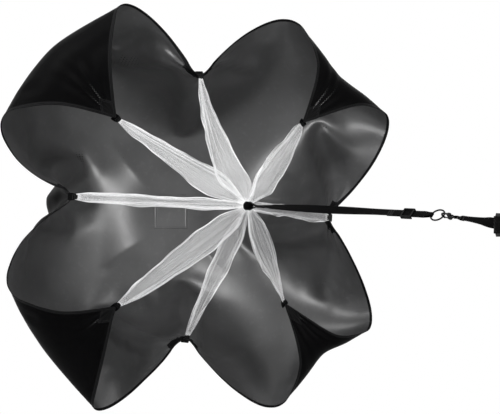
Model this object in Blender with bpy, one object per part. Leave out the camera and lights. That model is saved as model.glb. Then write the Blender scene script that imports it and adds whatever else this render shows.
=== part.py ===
# Speed parachute: a square nylon canopy, blown into eight lobes, held by eight mesh
# strips that meet ahead of its mouth, a webbing leash with a tri-glide, a steel ring,
# a swivel bolt snap, a tow strap and the runner's waist belt with its buckle.
# Metres, +Z up. +Y is the canopy's axis, from its mouth to its crown. The origin is
# the middle of the crown patch's inner face.
import math

import bmesh
import bpy
import numpy as np
from mathutils import Matrix, Vector

for old in list(bpy.data.objects):
    bpy.data.objects.remove(old, do_unlink=True)

# Canopy: a square of cloth held at its corners and at the middles of its sides
canopy_side = 1.42
mouth_radius = 0.385
crown_depth = 0.486
gather_ahead = 0.565
cloth_thick = 0.0022
seam_clear = 0.0015
patch_side = 0.110
patch_thick = 0.0030
patch_clear = 0.0005
binding_radius = 0.0018
binding_end = 0.009
binding_clear = 0.0010
binding_sides = 6
touch = 0.0003

# How the air blows the cloth: a square net of points, pushed along its normals
net_count = 49
air_push_share = 9.634
blow_steps = 620
draw_steps = 200
hold_passes = 12
frames_each_second = 120
speed_kept_share = 0.97
slant_hold_share = 0.5
bend_hold_share = 0.08
start_width_share = 0.8
start_depth = 0.300
start_wobble = 0.0017
crown_flat_shares = (0.085, 0.30)
depth_power = 4
ironing_passes = 6

# How far the breeze moves the cloth, as (x, z), at places along each stretch of rim,
# and outwards behind each anchor
rim_place_shares = (0.25, 0.50, 0.75)
rim_shifts = (
    ((0.005, 0.015), (0.010, 0.026), (0.013, 0.054)),
    ((0.049, 0.000), (0.021, -0.007), (0.013, 0.001)),
    ((-0.008, 0.002), (0.000, 0.000), (-0.020, 0.003)),
    ((0.009, 0.028), (0.021, 0.008), (0.000, -0.001)),
    ((0.003, -0.020), (0.044, -0.037), (0.020, -0.041)),
    ((-0.004, -0.002), (-0.003, -0.008), (-0.013, 0.002)),
    ((0.031, 0.002), (0.056, 0.005), (0.068, -0.003)),
    ((-0.009, -0.076), (-0.014, -0.054), (-0.008, -0.032)),
)
swell_place_shares = (
    (0.70, 0.0),
    (0.76, 0.76),
    (0.0, 0.70),
    (-0.70, 0.76),
    (-0.66, 0.0),
    (-0.68, -0.74),
    (0.0, -0.70),
    (0.78, -0.74),
)
swells = (0.030, 0.015, 0.020, 0.052, 0.079, 0.026, 0.030, 0.018)
still_ring_share = 0.3
gore_rows = 14
gore_columns = 12

# Where the eight anchors are, counted from the right as the runner looks back at them
anchor_names = (
    "right",
    "top_right",
    "top",
    "top_left",
    "left",
    "bottom_left",
    "bottom",
    "bottom_right",
)
anchor_turn_deg = (-3.5, -4.7, 1.2, -1.3, -5.2, 3.1, -7.2, -2.9)
anchor_radius_shares = (1.02, 1.04, 1.03, 0.95, 1.0, 0.99, 1.0, 0.98)

# Mesh strips, gathered at both ends
strip_thick = 0.0013
strip_widest = 0.078
strip_spread_shares = (0.42, 0.72, 1.0, 0.86, 0.40, 0.78, 0.78, 0.72)
strip_root_width = 0.008
strip_tip_width = 0.0042
strip_full_share = 0.72
strip_pleats = 3
strip_pleat_height = 0.0044
strip_tip_pleat = 0.0009
strip_rows = 14

# Anchor tabs, folded over the strips' outer ends
tab_start = 0.0001
tab_length = 0.022
tab_rear_width = 0.014
tab_front_width = 0.010
tab_thick = 0.0040
tab_round = 0.0012

# The gather, where the strips meet
gather_radius = 0.014
gather_groove_radius = 0.0092
gather_groove_width = 0.0128
gather_steps = 24

# The line to the runner: its turn from the canopy's axis and its drop
line_turn_deg = 36
line_drop_deg = 2.8
tow_drop_deg = 8.0

# Leash
leash_width = 0.020
leash_thick = 0.0015
leash_gathered_width = 0.0118
leash_fold_width = 0.010
leash_fold_bore = 0.0030
leash_neck = 0.030
leash_hem_end = 0.058
leash_full = 0.085
leash_face_on = 0.250
leash_doubled = 0.137
leash_tail = 0.122
leash_opening = 0.024
leash_start_roll_deg = 90
leash_middle_roll_deg = 12
leash_end_roll_deg = 45
ply_clear = 0.0004

# Tri-glide on the leash
glide_back = 0.066
glide_length = 0.031
glide_bar = 0.0042
glide_rail = 0.0036
glide_thick = 0.0026
glide_clear = 0.0005

# Ring
ring_at = 0.579
ring_radius = 0.017
ring_wire = 0.0020
ring_steps = 32
wire_sides = 8

# Bolt snap, measured from the middle of its hook along the tow line
snap_wire = 0.0023
snap_bay = 0.0066
snap_shank_end = 0.0100
snap_body_start = 0.0088
snap_body_length = 0.0105
snap_body_half = 0.0092
snap_body_thick = 0.0066
snap_tip_deg = 80
bolt_radius = 0.0015
bolt_clear = 0.0003
bolt_travel = 0.0050
knob_radius = 0.0014
knob_stand = 0.0030
post_radius = 0.0019
post_length = 0.0042
post_head_radius = 0.0031
post_head = 0.0013
eye_clear = 0.0003
eye_collar_radius = 0.0046
eye_wire = 0.0018
eye_bar_at = 0.0315
eye_half = 0.0088
eye_corner = 0.0024

# Tow strap and the rectangular ring that the belt holds
tow_width = 0.025
tow_thick = 0.0016
tow_gathered_width = 0.0125
tow_fold_bore = 0.0022
link_slack = 0.0012
tow_hem = 0.024
tow_edge_on = 0.100
link_near = 0.158
link_reach = 0.018
link_half = 0.0150
link_wire = 0.0019
link_corner = 0.0022

# Waist belt
belt_straight = 0.110
belt_radius = 0.110
belt_width = 0.038
belt_thick = 0.0016
pad_thick = 0.0040
pad_width = 0.052
pad_wrap_steps = 2
pad_round = 0.0015
link_tab_width = 0.022
link_tab_thick = 0.0014
link_tab_arm = 0.026
link_tab_neck = 0.0055
link_tab_bore = 0.0030
belt_arc_steps = 14

# Side-release buckle
buckle_width = 0.050
buckle_thick = 0.0104
buckle_wall = 0.0017
buckle_round = 0.0022
socket_length = 0.031
frame_length = 0.0115
frame_rail = 0.0045
buckle_bar = 0.0021
buckle_clear = 0.0004
male_base_length = 0.0235
prong_reach = 0.0245
prong_wide = 0.0052
prong_thick = 0.0050
prong_spread = 0.0165
prong_barb = 0.0052
guide_width = 0.0060
window_length = 0.0125
window_from_mouth = 0.0100
male_slide = 0.0270
belt_hem = 0.026
tail_length = 0.070
tail_lift = 0.0052

# Shared overrun of the cutting shapes
overrun = 0.002

half_side = canopy_side / 2
crown_y = patch_thick / 2
mouth_y = crown_y - crown_depth
gather_point = np.array([0.0, mouth_y - gather_ahead, 0.0])
strip_reach = math.hypot(gather_ahead, mouth_radius)


def material(name, colour, roughness, metallic=0.0):
    made = bpy.data.materials.new(name)
    made.use_nodes = True
    shader = made.node_tree.nodes["Principled BSDF"]
    shader.inputs["Base Color"].default_value = (*colour, 1)
    shader.inputs["Roughness"].default_value = roughness
    shader.inputs["Metallic"].default_value = metallic
    made.diffuse_color = (*colour, 1)
    return made


nylon = material("canopy_nylon", (0.06, 0.06, 0.065), 0.45)
net = material("strip_mesh", (0.82, 0.82, 0.82), 0.7)
webbing_black = material("webbing", (0.012, 0.012, 0.013), 0.75)
steel = material("steel", (0.72, 0.72, 0.73), 0.25, 1.0)
alloy = material("cast_alloy", (0.70, 0.70, 0.71), 0.3, 1.0)
plastic = material("buckle_plastic", (0.02, 0.02, 0.022), 0.4)
padding = material("belt_padding", (0.018, 0.018, 0.02), 0.85)


def node(name, mesh, finish, parent=None, matrix=None):
    made = bpy.data.objects.new(name, mesh)
    bpy.context.scene.collection.objects.link(made)
    mesh.materials.clear()
    mesh.materials.append(finish)
    made.parent = parent
    if matrix is not None:
        made.matrix_local = matrix
    return made


def empty(name, parent=None, matrix=None):
    made = bpy.data.objects.new(name, None)
    bpy.context.scene.collection.objects.link(made)
    made.parent = parent
    if matrix is not None:
        made.matrix_local = matrix
    return made


def mesh_from(name, points, faces, smooth_deg=None):
    """A mesh of these points and faces, with its faces turned outwards."""
    made = bpy.data.meshes.new(name)
    made.from_pydata([tuple(map(float, p)) for p in points], [], faces)
    work = bmesh.new()
    work.from_mesh(made)
    bmesh.ops.recalc_face_normals(work, faces=work.faces)
    work.to_mesh(made)
    work.free()
    if smooth_deg is not None:
        made.shade_smooth()
        made.set_sharp_from_angle(angle=math.radians(smooth_deg))
    return made


def loft(name, rings, smooth_deg=40, closed=False):
    """A solid through rings of as many points each, capped at both ends or closed."""
    count = len(rings[0])
    points = [p for ring in rings for p in ring]
    faces = []
    for i in range(len(rings) - (not closed)):
        near, far = i * count, (i + 1) % len(rings) * count
        for j in range(count):
            k = (j + 1) % count
            faces.append((near + j, near + k, far + k, far + j))
    if not closed:
        faces.append(tuple(range(count)))
        faces.append(tuple(range((len(rings) - 1) * count, len(rings) * count)))
    return mesh_from(name, points, faces, smooth_deg)


def smooth(x):
    x = np.clip(x, 0, 1)
    return x * x * (3 - 2 * x)


def anchor(i):
    """An anchor's place: as far from the gather as the others, a little off its eighth."""
    turn = math.radians(45 * i + anchor_turn_deg[i])
    radius = mouth_radius * anchor_radius_shares[i]
    back = math.sqrt(strip_reach**2 - radius**2)
    return gather_point + [radius * math.cos(turn), back, radius * math.sin(turn)]


anchors = np.array([anchor(i) for i in range(8)])

# Canopy form. The cloth is a net of points, with u to the right and v up, from -1 to 1.
# Anchor i holds the point corners[i] of that square
corners = ((1, 0), (1, 1), (0, 1), (-1, 1), (-1, 0), (-1, -1), (0, -1), (1, -1))


def pairs(spacing):
    """Sets of neighbours that share no point, with their distance and how firmly it holds."""
    found = []
    whole = slice(None)
    for first in (0, 1):
        near, far = slice(first, net_count - 1, 2), slice(first + 1, net_count, 2)
        found += [((near, whole), (far, whole), spacing, 1.0)]
        found += [((whole, near), (whole, far), spacing, 1.0)]
    low, high = slice(0, net_count - 1), slice(1, net_count)
    slant = spacing * math.sqrt(2)
    for first in (0, 1):
        near, far = slice(first, net_count - 1, 2), slice(first + 1, net_count, 2)
        found += [((near, low), (far, high), slant, slant_hold_share)]
        found += [((near, high), (far, low), slant, slant_hold_share)]
    for first in range(4):
        near, far = slice(first, net_count - 2, 4), slice(first + 2, net_count, 4)
        found += [((near, whole), (far, whole), 2 * spacing, bend_hold_share)]
        found += [((whole, near), (whole, far), 2 * spacing, bend_hold_share)]
    return found


def blown_net():
    """The net at rest under the air: its spacing holds and its eight anchors stay put."""
    middle = net_count // 2
    spacing = canopy_side / (net_count - 1)
    line = np.linspace(-half_side, half_side, net_count)
    x, z = np.meshgrid(line, line, indexing="ij")
    out = np.maximum(abs(x), abs(z)) / half_side
    flat = [x * start_width_share, mouth_y + start_depth * (1 - out**2), z * start_width_share]
    points = np.stack(flat, -1)
    points += np.random.default_rng(4).normal(0, start_wobble, points.shape)
    pins = [(middle + u * middle, middle + v * middle) for u, v in corners]
    starts = [points[pin].copy() for pin in pins]
    free = np.ones((net_count, net_count))
    for pin in pins:
        free[pin] = 0
    held = []
    for near, far, length, firm in pairs(spacing):
        both = np.maximum(free[near] + free[far], 1)
        held.append((near, far, length, firm * free[near] / both, firm * free[far] / both))
    pace = 1 / frames_each_second
    speed = np.zeros_like(points)
    for step in range(blow_steps):
        share = min(1.0, step / draw_steps)
        for pin, start, goal in zip(pins, starts, anchors, strict=True):
            points[pin] = start + (goal - start) * share
        push = np.cross(np.gradient(points, axis=1), np.gradient(points, axis=0))
        push *= np.sign(push[middle, middle, 1]) * air_push_share * half_side * pace / spacing**2
        speed = (speed + push) * speed_kept_share * free[..., None]
        before = points.copy()
        points = points + speed * pace
        for _ in range(hold_passes):
            for near, far, length, near_share, far_share in held:
                gap = points[far] - points[near]
                size = np.sqrt((gap * gap).sum(-1)) + 1e-12
                gap *= ((size - length) / size)[..., None]
                points[near] += near_share[..., None] * gap
                points[far] -= far_share[..., None] * gap
        speed = (points - before) / pace
    return points


def plate(ends, starts):
    """The thin plate's kernel between two lists of places: r squared times log r."""
    gap = ((ends[:, None] - starts[None]) ** 2).sum(-1)
    return 0.5 * gap * np.log(gap + 1e-12)


def shift_sites():
    """Places on the cloth, and how far the breeze moves each in x and z."""
    ring = np.radians(45 * np.arange(8))
    sites = [(0.0, 0.0), *corners]
    sites += list(still_ring_share * np.stack([np.cos(ring), np.sin(ring)], -1))
    moves = [(0.0, 0.0)] * len(sites)
    for i in range(8):
        start, end = np.array(corners[i], float), np.array(corners[(i + 1) % 8], float)
        for share, move in zip(rim_place_shares, rim_shifts[i], strict=True):
            sites.append(start + (end - start) * share)
            moves.append(move)
        turn = ring[i]
        sites.append(swell_place_shares[i])
        moves.append((swells[i] * math.cos(turn), swells[i] * math.sin(turn)))
    return np.array(sites, float), np.array(moves, float)


def shifts(places):
    """The smoothest field over the cloth that moves every site as it should."""
    sites, moves = shift_sites()
    count = len(sites)
    system = np.zeros((count + 3, count + 3))
    system[:count, :count] = plate(sites, sites)
    system[:count, count:] = np.column_stack([np.ones(count), sites])
    system[count:, :count] = system[:count, count:].T
    weights = np.linalg.solve(system, np.concatenate([moves, np.zeros((3, 2))]))
    spread = plate(places, sites) @ weights[:count]
    return spread + np.column_stack([np.ones(len(places)), places]) @ weights[count:]


def doubled(points):
    """The net with a point between each two, on a cubic through their neighbours."""
    for axis in (0, 1):
        held = np.moveaxis(points, axis, 0)
        wide = np.concatenate([2 * held[:1] - held[1:2], held, 2 * held[-1:] - held[-2:-1]])
        between = (9 * (wide[1:-2] + wide[2:-1]) - wide[:-3] - wide[3:]) / 16
        woven = np.empty((2 * held.shape[0] - 1, *held.shape[1:]))
        woven[::2], woven[1::2] = held, between
        points = np.moveaxis(woven, 0, axis)
    return points


def ironed(points):
    """The net without the finest creases, which these few faces could not carry."""
    middle = points.shape[0] // 2
    pins = [(middle + u * middle, middle + v * middle) for u, v in corners]
    for _ in range(ironing_passes):
        for axis in (0, 1):
            held = np.moveaxis(points, axis, 0)
            held[1:-1] = (held[:-2] + 2 * held[1:-1] + held[2:]) / 4
        for pin, place in zip(pins, anchors, strict=True):
            points[pin] = place
    return points


def formed_cloth():
    """The blown net, moved by the breeze, as deep as named and flat under the patch."""
    points = ironed(doubled(blown_net()))
    line = np.linspace(-1, 1, points.shape[0])
    u, v = np.meshgrid(line, line, indexing="ij")
    moved = shifts(np.stack([u, v], -1).reshape(-1, 2)).reshape(*u.shape, 2)
    points[..., 0] += moved[..., 0]
    points[..., 2] += moved[..., 1]
    t = np.maximum(abs(u), abs(v))
    middle = points.shape[0] // 2
    deeper = (crown_y - mouth_y) / (points[middle, middle, 1] - mouth_y) - 1
    points[..., 1] += (points[..., 1] - mouth_y) * deeper * (1 - t**depth_power)
    start, end = crown_flat_shares
    level = (1 - smooth((t - start) / (end - start)))[..., None]
    flat = np.stack([u * half_side, np.full_like(u, crown_y), v * half_side], -1)
    return points + (flat - points) * level


cloth = formed_cloth()


def gore_surface(k, t, s):
    """The cloth's middle surface in gore k, counted from the right. A gore runs from the
    seam to a side's middle (s = 0) to the seam to a corner (s = 1), and from the crown
    (t = 0) to the rim (t = 1)."""
    side = k if k % 2 == 0 else (k + 1) % 8
    corner = (k + 1) % 8 if k % 2 == 0 else k
    start, end = np.array(corners[side]), np.array(corners[corner])
    u = t * (start[0] + (end[0] - start[0]) * s)
    v = t * (start[1] + (end[1] - start[1]) * s)
    last = cloth.shape[0] - 1
    i, j = (u + 1) / 2 * last, (v + 1) / 2 * last
    low_i, low_j = np.minimum(i.astype(int), last - 1), np.minimum(j.astype(int), last - 1)
    a, b = (i - low_i)[..., None], (j - low_j)[..., None]
    near = cloth[low_i, low_j] * (1 - b) + cloth[low_i, low_j + 1] * b
    far = cloth[low_i + 1, low_j] * (1 - b) + cloth[low_i + 1, low_j + 1] * b
    return near * (1 - a) + far * a


def gore_grid(rows, columns):
    """(t, s) on a grid that stays the seam clearance away from both seams."""
    start = (patch_side / 2 + patch_clear) / half_side
    t = np.linspace(start, 1, rows)[:, None] * np.ones((1, columns))
    low = seam_clear / (half_side * t)
    high = 1 - seam_clear * math.sqrt(2) / (half_side * t)
    return t, low + (high - low) * np.linspace(0, 1, columns)


def grid_faces(rows, columns):
    """Triangles over a grid. Both walls of a sheet are split the same way."""
    found = []
    for i in range(rows - 1):
        for j in range(columns - 1):
            a, b = i * columns + j, i * columns + j + 1
            c, d = a + columns, b + columns
            found += [(a, b, d), (a, d, c)]
    return found


def shell(name, grid, thick):
    """A closed sheet of this thickness about a grid of points."""
    rows, columns = grid.shape[:2]
    down = np.gradient(grid, axis=0)
    across = np.gradient(grid, axis=1)
    normal = np.cross(down, across)
    normal /= np.linalg.norm(normal, axis=-1, keepdims=True)
    top = (grid + normal * thick / 2).reshape(-1, 3)
    bottom = (grid - normal * thick / 2).reshape(-1, 3)
    count = rows * columns
    upper = grid_faces(rows, columns)
    lower = [tuple(count + j for j in reversed(face)) for face in upper]
    index = np.arange(count).reshape(rows, columns)
    edge = [*index[0], *index[1:, -1], *index[-1, -2::-1], *index[-2:0:-1, 0]]
    edge = [int(j) for j in edge]
    walls = [
        (a, b, count + b, count + a)
        for a, b in zip(edge, edge[1:] + edge[:1], strict=True)
    ]
    points = np.concatenate([top, bottom])
    return mesh_from(name, points, upper + lower + walls, 50)


def make_gores():
    for k in range(8):
        name = f"canopy_gore_{k + 1}"
        grid = gore_surface(k, *gore_grid(gore_rows, gore_columns))
        node(name, shell(name, grid, cloth_thick), nylon)


def make_bindings():
    """The hem's bead, just outside each gore's edge, in the same straight stretches."""
    t, s = gore_grid(gore_rows, gore_columns)
    inner = 1 - seam_clear / half_side
    ends = binding_end / half_side
    stations = np.clip(s[-1], ends, 1 - ends)
    for k in range(8):
        name = f"rim_binding_{k + 1}"
        edge = gore_surface(k, t[-1], s[-1])
        away = edge - gore_surface(k, t[-1] * inner, s[-1])
        along = np.gradient(edge, axis=0)
        normal = np.cross(along, away)
        rings = []
        for station in stations:
            middle, out, up = [
                np.array([np.interp(station, s[-1], column) for column in row.T])
                for row in (edge, away, normal)
            ]
            out /= np.linalg.norm(out)
            up /= np.linalg.norm(up)
            middle = middle + out * (binding_radius + binding_clear)
            ring = []
            for j in range(binding_sides):
                turn = 2 * math.pi * j / binding_sides
                ring.append(
                    middle
                    + out * binding_radius * math.cos(turn)
                    + up * binding_radius * math.sin(turn)
                )
            rings.append(ring)
        node(name, loft(name, rings, 70), nylon)


def make_patch():
    """The doubled patch at the crown, its inner face in the plane y = 0."""
    half, corner = patch_side / 2, patch_thick
    outline = []
    for turn in range(4):
        middle = Vector((half - corner, half - corner))
        for step in range(3):
            lean = math.radians(45 * step)
            point = middle + corner * Vector((math.cos(lean), math.sin(lean)))
            outline.append(Matrix.Rotation(math.radians(90 * turn), 2) @ point)
    rings = [[(p.x, y, p.y) for p in outline] for y in (0.0, patch_thick)]
    node("crown_patch", loft("crown_patch", rings), nylon)


def tip_direction(i):
    """From the gather to where strip i ends on it, evenly spaced about the axis."""
    turn = math.radians(45 * i)
    place = np.array(
        [mouth_radius * math.cos(turn), gather_ahead, mouth_radius * math.sin(turn)]
    )
    return place / np.linalg.norm(place)


def make_strip(i):
    """A pleated ribbon of net from its tab to the gather."""
    name = f"mesh_strip_{anchor_names[i]}"
    tip = gather_point + tip_direction(i) * (gather_radius + touch)
    along = tip - anchors[i]
    along /= np.linalg.norm(along)
    start = anchors[i] + along * (tab_start + tab_length + touch)
    turn = math.radians(45 * i + anchor_turn_deg[i])
    wide = np.array([-math.sin(turn), 0.0, math.cos(turn)])
    wide -= along * (wide @ along)
    wide /= np.linalg.norm(wide)
    flat = np.cross(along, wide)
    widest = strip_widest * strip_spread_shares[i]
    count = 2 * strip_pleats + 1
    rings = []
    for way in np.linspace(0, 1, strip_rows):
        if way < strip_full_share:
            share = smooth(way / strip_full_share)
            width = strip_root_width + (widest - strip_root_width) * share
            height = strip_pleat_height
        else:
            share = float(smooth((1 - way) / (1 - strip_full_share)))
            width = strip_tip_width + (widest - strip_tip_width) * share
            height = strip_tip_pleat + (strip_pleat_height - strip_tip_pleat) * share
        height *= min(1.0, width / strip_root_width)
        middle = start + (tip - start) * way
        side = np.linspace(-width / 2, width / 2, count)
        fold = height / 2 * np.where(np.arange(count) % 2, 1, -1)
        top = [middle + wide * a + flat * (b + strip_thick / 2) for a, b in zip(side, fold)]
        low = [middle + wide * a + flat * (b - strip_thick / 2) for a, b in zip(side, fold)]
        rings.append(top + low[::-1])
    node(name, loft(name, rings, 20), net)


def make_tab(i):
    """The folded tab that sews a strip to the rim."""
    name = f"anchor_tab_{anchor_names[i]}"
    tip = gather_point + tip_direction(i) * (gather_radius + touch)
    along = tip - anchors[i]
    along /= np.linalg.norm(along)
    turn = math.radians(45 * i + anchor_turn_deg[i])
    wide = np.array([-math.sin(turn), 0.0, math.cos(turn)])
    wide -= along * (wide @ along)
    wide /= np.linalg.norm(wide)
    flat = np.cross(along, wide)
    rings = []
    for way, shrink in ((0, 1), (tab_round, 0), (tab_length - tab_round, 0), (tab_length, 1)):
        share = way / tab_length
        width = tab_rear_width + (tab_front_width - tab_rear_width) * share
        half_w = width / 2 - shrink * tab_round
        half_t = tab_thick / 2 - shrink * tab_round
        middle = anchors[i] + along * (tab_start + way)
        ring = []
        for a, b in ((1, 1), (-1, 1), (-1, -1), (1, -1)):
            # each corner is cut off, so that the tab looks folded and not sawn
            first, last = (half_w, half_t - tab_round * 0.5), (half_w - tab_round * 0.5, half_t)
            pair = (first, last) if a * b > 0 else (last, first)
            ring += [middle + wide * a * p + flat * b * q for p, q in pair]
        rings.append(ring)
    node(name, loft(name, rings, 20), webbing_black)


# The line's frames: x runs from the gather to the runner, y lies level, z is up
def frame(place, turn_deg, drop_deg):
    turned = Matrix.Rotation(math.radians(turn_deg), 4, "Z")
    dropped = Matrix.Rotation(math.radians(drop_deg), 4, "Y")
    return Matrix.Translation(Vector(place)) @ turned @ dropped


line = empty("leash_line", None, frame(gather_point, line_turn_deg - 90, line_drop_deg))
ring_far = ring_at + ring_radius
snap_seat = snap_bay - snap_wire - ring_wire - ply_clear
snap_at = (ring_far + snap_seat, 0, 0)
tow = empty("tow_line", line, frame(snap_at, 0, tow_drop_deg - line_drop_deg))
link = empty("link_frame", tow, frame((link_near, 0, 0), 0, -tow_drop_deg / 2))
belt = empty("belt_frame", link, frame((link_reach, 0, 0), 0, -tow_drop_deg / 2))


def across(roll):
    """The width and thickness directions of a strap rolled about x from upright."""
    wide = Vector((0, math.sin(roll), math.cos(roll)))
    thick = Vector((0, math.cos(roll), -math.sin(roll)))
    return wide, thick


def strap(name, stations, thick, finish, parent):
    """Webbing through stations of (x, off the line, roll, width)."""
    rings = []
    x_axis = Vector((1, 0, 0))
    for i, (x, off, roll, width) in enumerate(stations):
        before, after = stations[max(i - 1, 0)], stations[min(i + 1, len(stations) - 1)]
        run, rise = after[0] - before[0], after[1] - before[1]
        wide, out = across(roll)
        normal = (out * run - x_axis * rise).normalized()
        middle = x_axis * x + out * off
        rings.append(
            [
                middle + wide * a * width / 2 + normal * b * thick / 2
                for a, b in ((1, 1), (-1, 1), (-1, -1), (1, -1))
            ]
        )
    return node(name, loft(name, rings, 30), finish, parent)


def eased(x, places):
    """A value that eases from one (x, value) to the next."""
    if x <= places[0][0]:
        return places[0][1]
    for (a, low), (b, high) in zip(places, places[1:]):
        if x <= b:
            return low + (high - low) * float(smooth((x - a) / (b - a)))
    return places[-1][1]


def arc(middle, radius, start_deg, end_deg, steps):
    """(x, off) along an arc about (middle, 0)."""
    turns = [math.radians(start_deg + (end_deg - start_deg) * i / steps) for i in range(steps + 1)]
    return [(middle + radius * math.cos(a), radius * math.sin(a)) for a in turns]


def make_gather():
    """The bound bundle of strip ends, waisted for the leash's loop."""
    groove = gather_groove_width / 2
    lip = math.sqrt(gather_radius**2 - groove**2)
    rise = math.degrees(math.asin(groove / gather_radius))
    profile = []
    for step in range(6):
        lean = math.radians(90 - (90 - rise) * step / 5)
        profile.append((gather_radius * math.cos(lean), gather_radius * math.sin(lean)))
    profile[0] = (0.0, gather_radius)
    profile[-1] = (lip, groove)
    profile += [(gather_groove_radius, groove), (gather_groove_radius, -groove)]
    profile += [(r, -y) for r, y in reversed(profile[:6])]
    points, faces = [], []
    for r, y in profile[1:-1]:
        for j in range(gather_steps):
            turn = 2 * math.pi * j / gather_steps
            points.append((r * math.cos(turn), y, r * math.sin(turn)))
    rows = len(profile) - 2
    for i in range(rows - 1):
        for j in range(gather_steps):
            k = (j + 1) % gather_steps
            near, far = i * gather_steps, (i + 1) * gather_steps
            faces.append((near + j, near + k, far + k, far + j))
    points += [(0, gather_radius, 0), (0, -gather_radius, 0)]
    last = (rows - 1) * gather_steps
    for j in range(gather_steps):
        k = (j + 1) % gather_steps
        faces.append((j, k, len(points) - 2))
        faces.append((last + j, last + k, len(points) - 1))
    node("strip_gather", mesh_from("strip_gather", points, faces, 40), net, line)


# Places along the leash that lie back from the ring's near wire
ring_near = ring_at - ring_radius
doubled_at = ring_near - leash_doubled
tail_at = ring_near - leash_tail
opening_at = ring_near - leash_opening
glide_at = ring_near - glide_back


def leash_roll(x):
    middle, end = math.radians(leash_middle_roll_deg), math.radians(leash_end_roll_deg)
    start = math.radians(leash_start_roll_deg)
    return eased(x, [(leash_hem_end, start), (leash_face_on, middle), (doubled_at, end)])


def leash_width_at(x):
    near = [(leash_hem_end, leash_gathered_width), (leash_full, leash_width)]
    far = [(opening_at, leash_width), (ring_near, leash_fold_width)]
    return eased(x, near + far)


def make_leash():
    """A loop round the gather, a long run, and a fold through the ring to the tri-glide."""
    bend = gather_groove_radius + touch + leash_thick / 2
    ply = (leash_thick + ply_clear) / 2
    tangent = math.degrees(math.acos(bend / leash_neck))
    path = [(leash_hem_end, ply), (leash_neck, ply)]
    path += arc(0, bend, tangent, 360 - tangent, 16)
    path += [(leash_neck, -ply), (leash_hem_end, -ply)]
    runs = [leash_hem_end + (doubled_at - leash_hem_end) * i / 12 for i in range(1, 13)]
    path += [(x, -ply) for x in runs]
    fold = leash_fold_bore + leash_thick / 2
    opening = [(doubled_at, ply), (opening_at, ply), (ring_near, fold)]
    steps = [tail_at, opening_at, (opening_at + ring_near) / 2]
    path += [(x, -eased(x, opening)) for x in steps]
    path += arc(ring_near, fold, -90, 90, 8)
    path += [(x, eased(x, opening)) for x in reversed(steps)]
    stations = [(x, off, leash_roll(x), leash_width_at(x)) for x, off in path]
    strap("leash", stations, leash_thick, webbing_black, line)


def torus(name, points, wire, finish, parent, matrix=None, bend=None):
    """A closed ring of round wire through these points, which lie in one plane."""
    count = len(points)
    flat = Vector(bend)
    rings = []
    for i, point in enumerate(points):
        ahead = (points[(i + 1) % count] - points[i - 1]).normalized()
        side = ahead.cross(flat)
        ring = []
        for j in range(wire_sides):
            turn = 2 * math.pi * j / wire_sides
            ring.append(point + side * wire * math.cos(turn) + flat * wire * math.sin(turn))
        rings.append(ring)
    return node(name, loft(name, rings, 60, closed=True), finish, parent, matrix)


def make_ring():
    """The steel ring, in the plane of the leash's width. Its origin is on its near wire."""
    points = []
    for i in range(ring_steps):
        turn = 2 * math.pi * i / ring_steps
        x = ring_radius - ring_radius * math.cos(turn)
        points.append(Vector((x, 0, ring_radius * math.sin(turn))))
    roll = Matrix.Rotation(-math.radians(leash_end_roll_deg), 4, "X")
    place = Matrix.Translation((ring_near, 0, 0)) @ roll
    torus("ring", points, ring_wire, steel, line, place, (0, 1, 0))


def box_mesh(name, low, high):
    (x0, y0, z0), (x1, y1, z1) = low, high
    rings = [[(x, y0, z0), (x, y1, z0), (x, y1, z1), (x, y0, z1)] for x in (x0, x1)]
    return loft(name, rings, 30)


def cutter(name, mesh, parent, matrix=None):
    made = node(name, mesh, plastic, parent, matrix)
    made.hide_render = True
    made.display_type = "WIRE"
    return made


def boolean(target, other, operation):
    modifier = target.modifiers.new(other.name, "BOOLEAN")
    modifier.operation = operation
    modifier.object = other
    modifier.solver = "EXACT"


def rounded(target, width, segments=2):
    modifier = target.modifiers.new("edges", "BEVEL")
    modifier.width = width
    modifier.segments = segments
    modifier.limit_method = "ANGLE"
    modifier.angle_limit = math.radians(40)


def rounded_rectangle(half_long, half_wide, corner, steps=4):
    """Corner points of a rounded rectangle in a plane, counter-clockwise."""
    found = []
    for turn in range(4):
        a = half_long - corner if turn in (0, 3) else corner - half_long
        b = half_wide - corner if turn in (0, 1) else corner - half_wide
        for step in range(steps + 1):
            lean = math.radians(90 * turn + 90 * step / steps)
            found.append((a + corner * math.cos(lean), b + corner * math.sin(lean)))
    return found


def make_glide():
    """Two end bars under the webbing and a middle bar over it, joined by side rails."""
    ply = leash_thick + ply_clear / 2
    inside = ply + glide_clear
    half_wide = leash_width / 2 + glide_clear
    outer_wide = half_wide + glide_rail
    half_long = glide_length / 2
    place = Matrix.Translation((glide_at, 0, 0)) @ Matrix.Rotation(
        -math.radians(leash_end_roll_deg), 4, "X"
    )
    outline = rounded_rectangle(half_long, outer_wide, glide_rail)
    depth = inside + glide_thick
    rings = [[(a, y, b) for a, b in outline] for y in (-depth, depth)]
    body = node("tri_glide", loft("tri_glide", rings, 30), plastic, line, place)
    reach = half_long + overrun
    cuts = {
        "webbing_way": ((-reach, -inside, -half_wide), (reach, inside, half_wide)),
        "under_slot": (
            (glide_bar - half_long, -depth - overrun, -half_wide),
            (half_long - glide_bar, inside - glide_clear, half_wide),
        ),
        "over_slot_near": (
            (-reach, glide_clear - inside, -half_wide),
            (-glide_bar / 2, depth + overrun, half_wide),
        ),
        "over_slot_far": (
            (glide_bar / 2, glide_clear - inside, -half_wide),
            (reach, depth + overrun, half_wide),
        ),
    }
    for name, (low, high) in cuts.items():
        tool = cutter(f"glide_{name}", box_mesh(name, low, high), line, place)
        boolean(body, tool, "DIFFERENCE")


def snap_frame():
    return Matrix.Rotation(-math.radians(leash_end_roll_deg), 4, "X")


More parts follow.
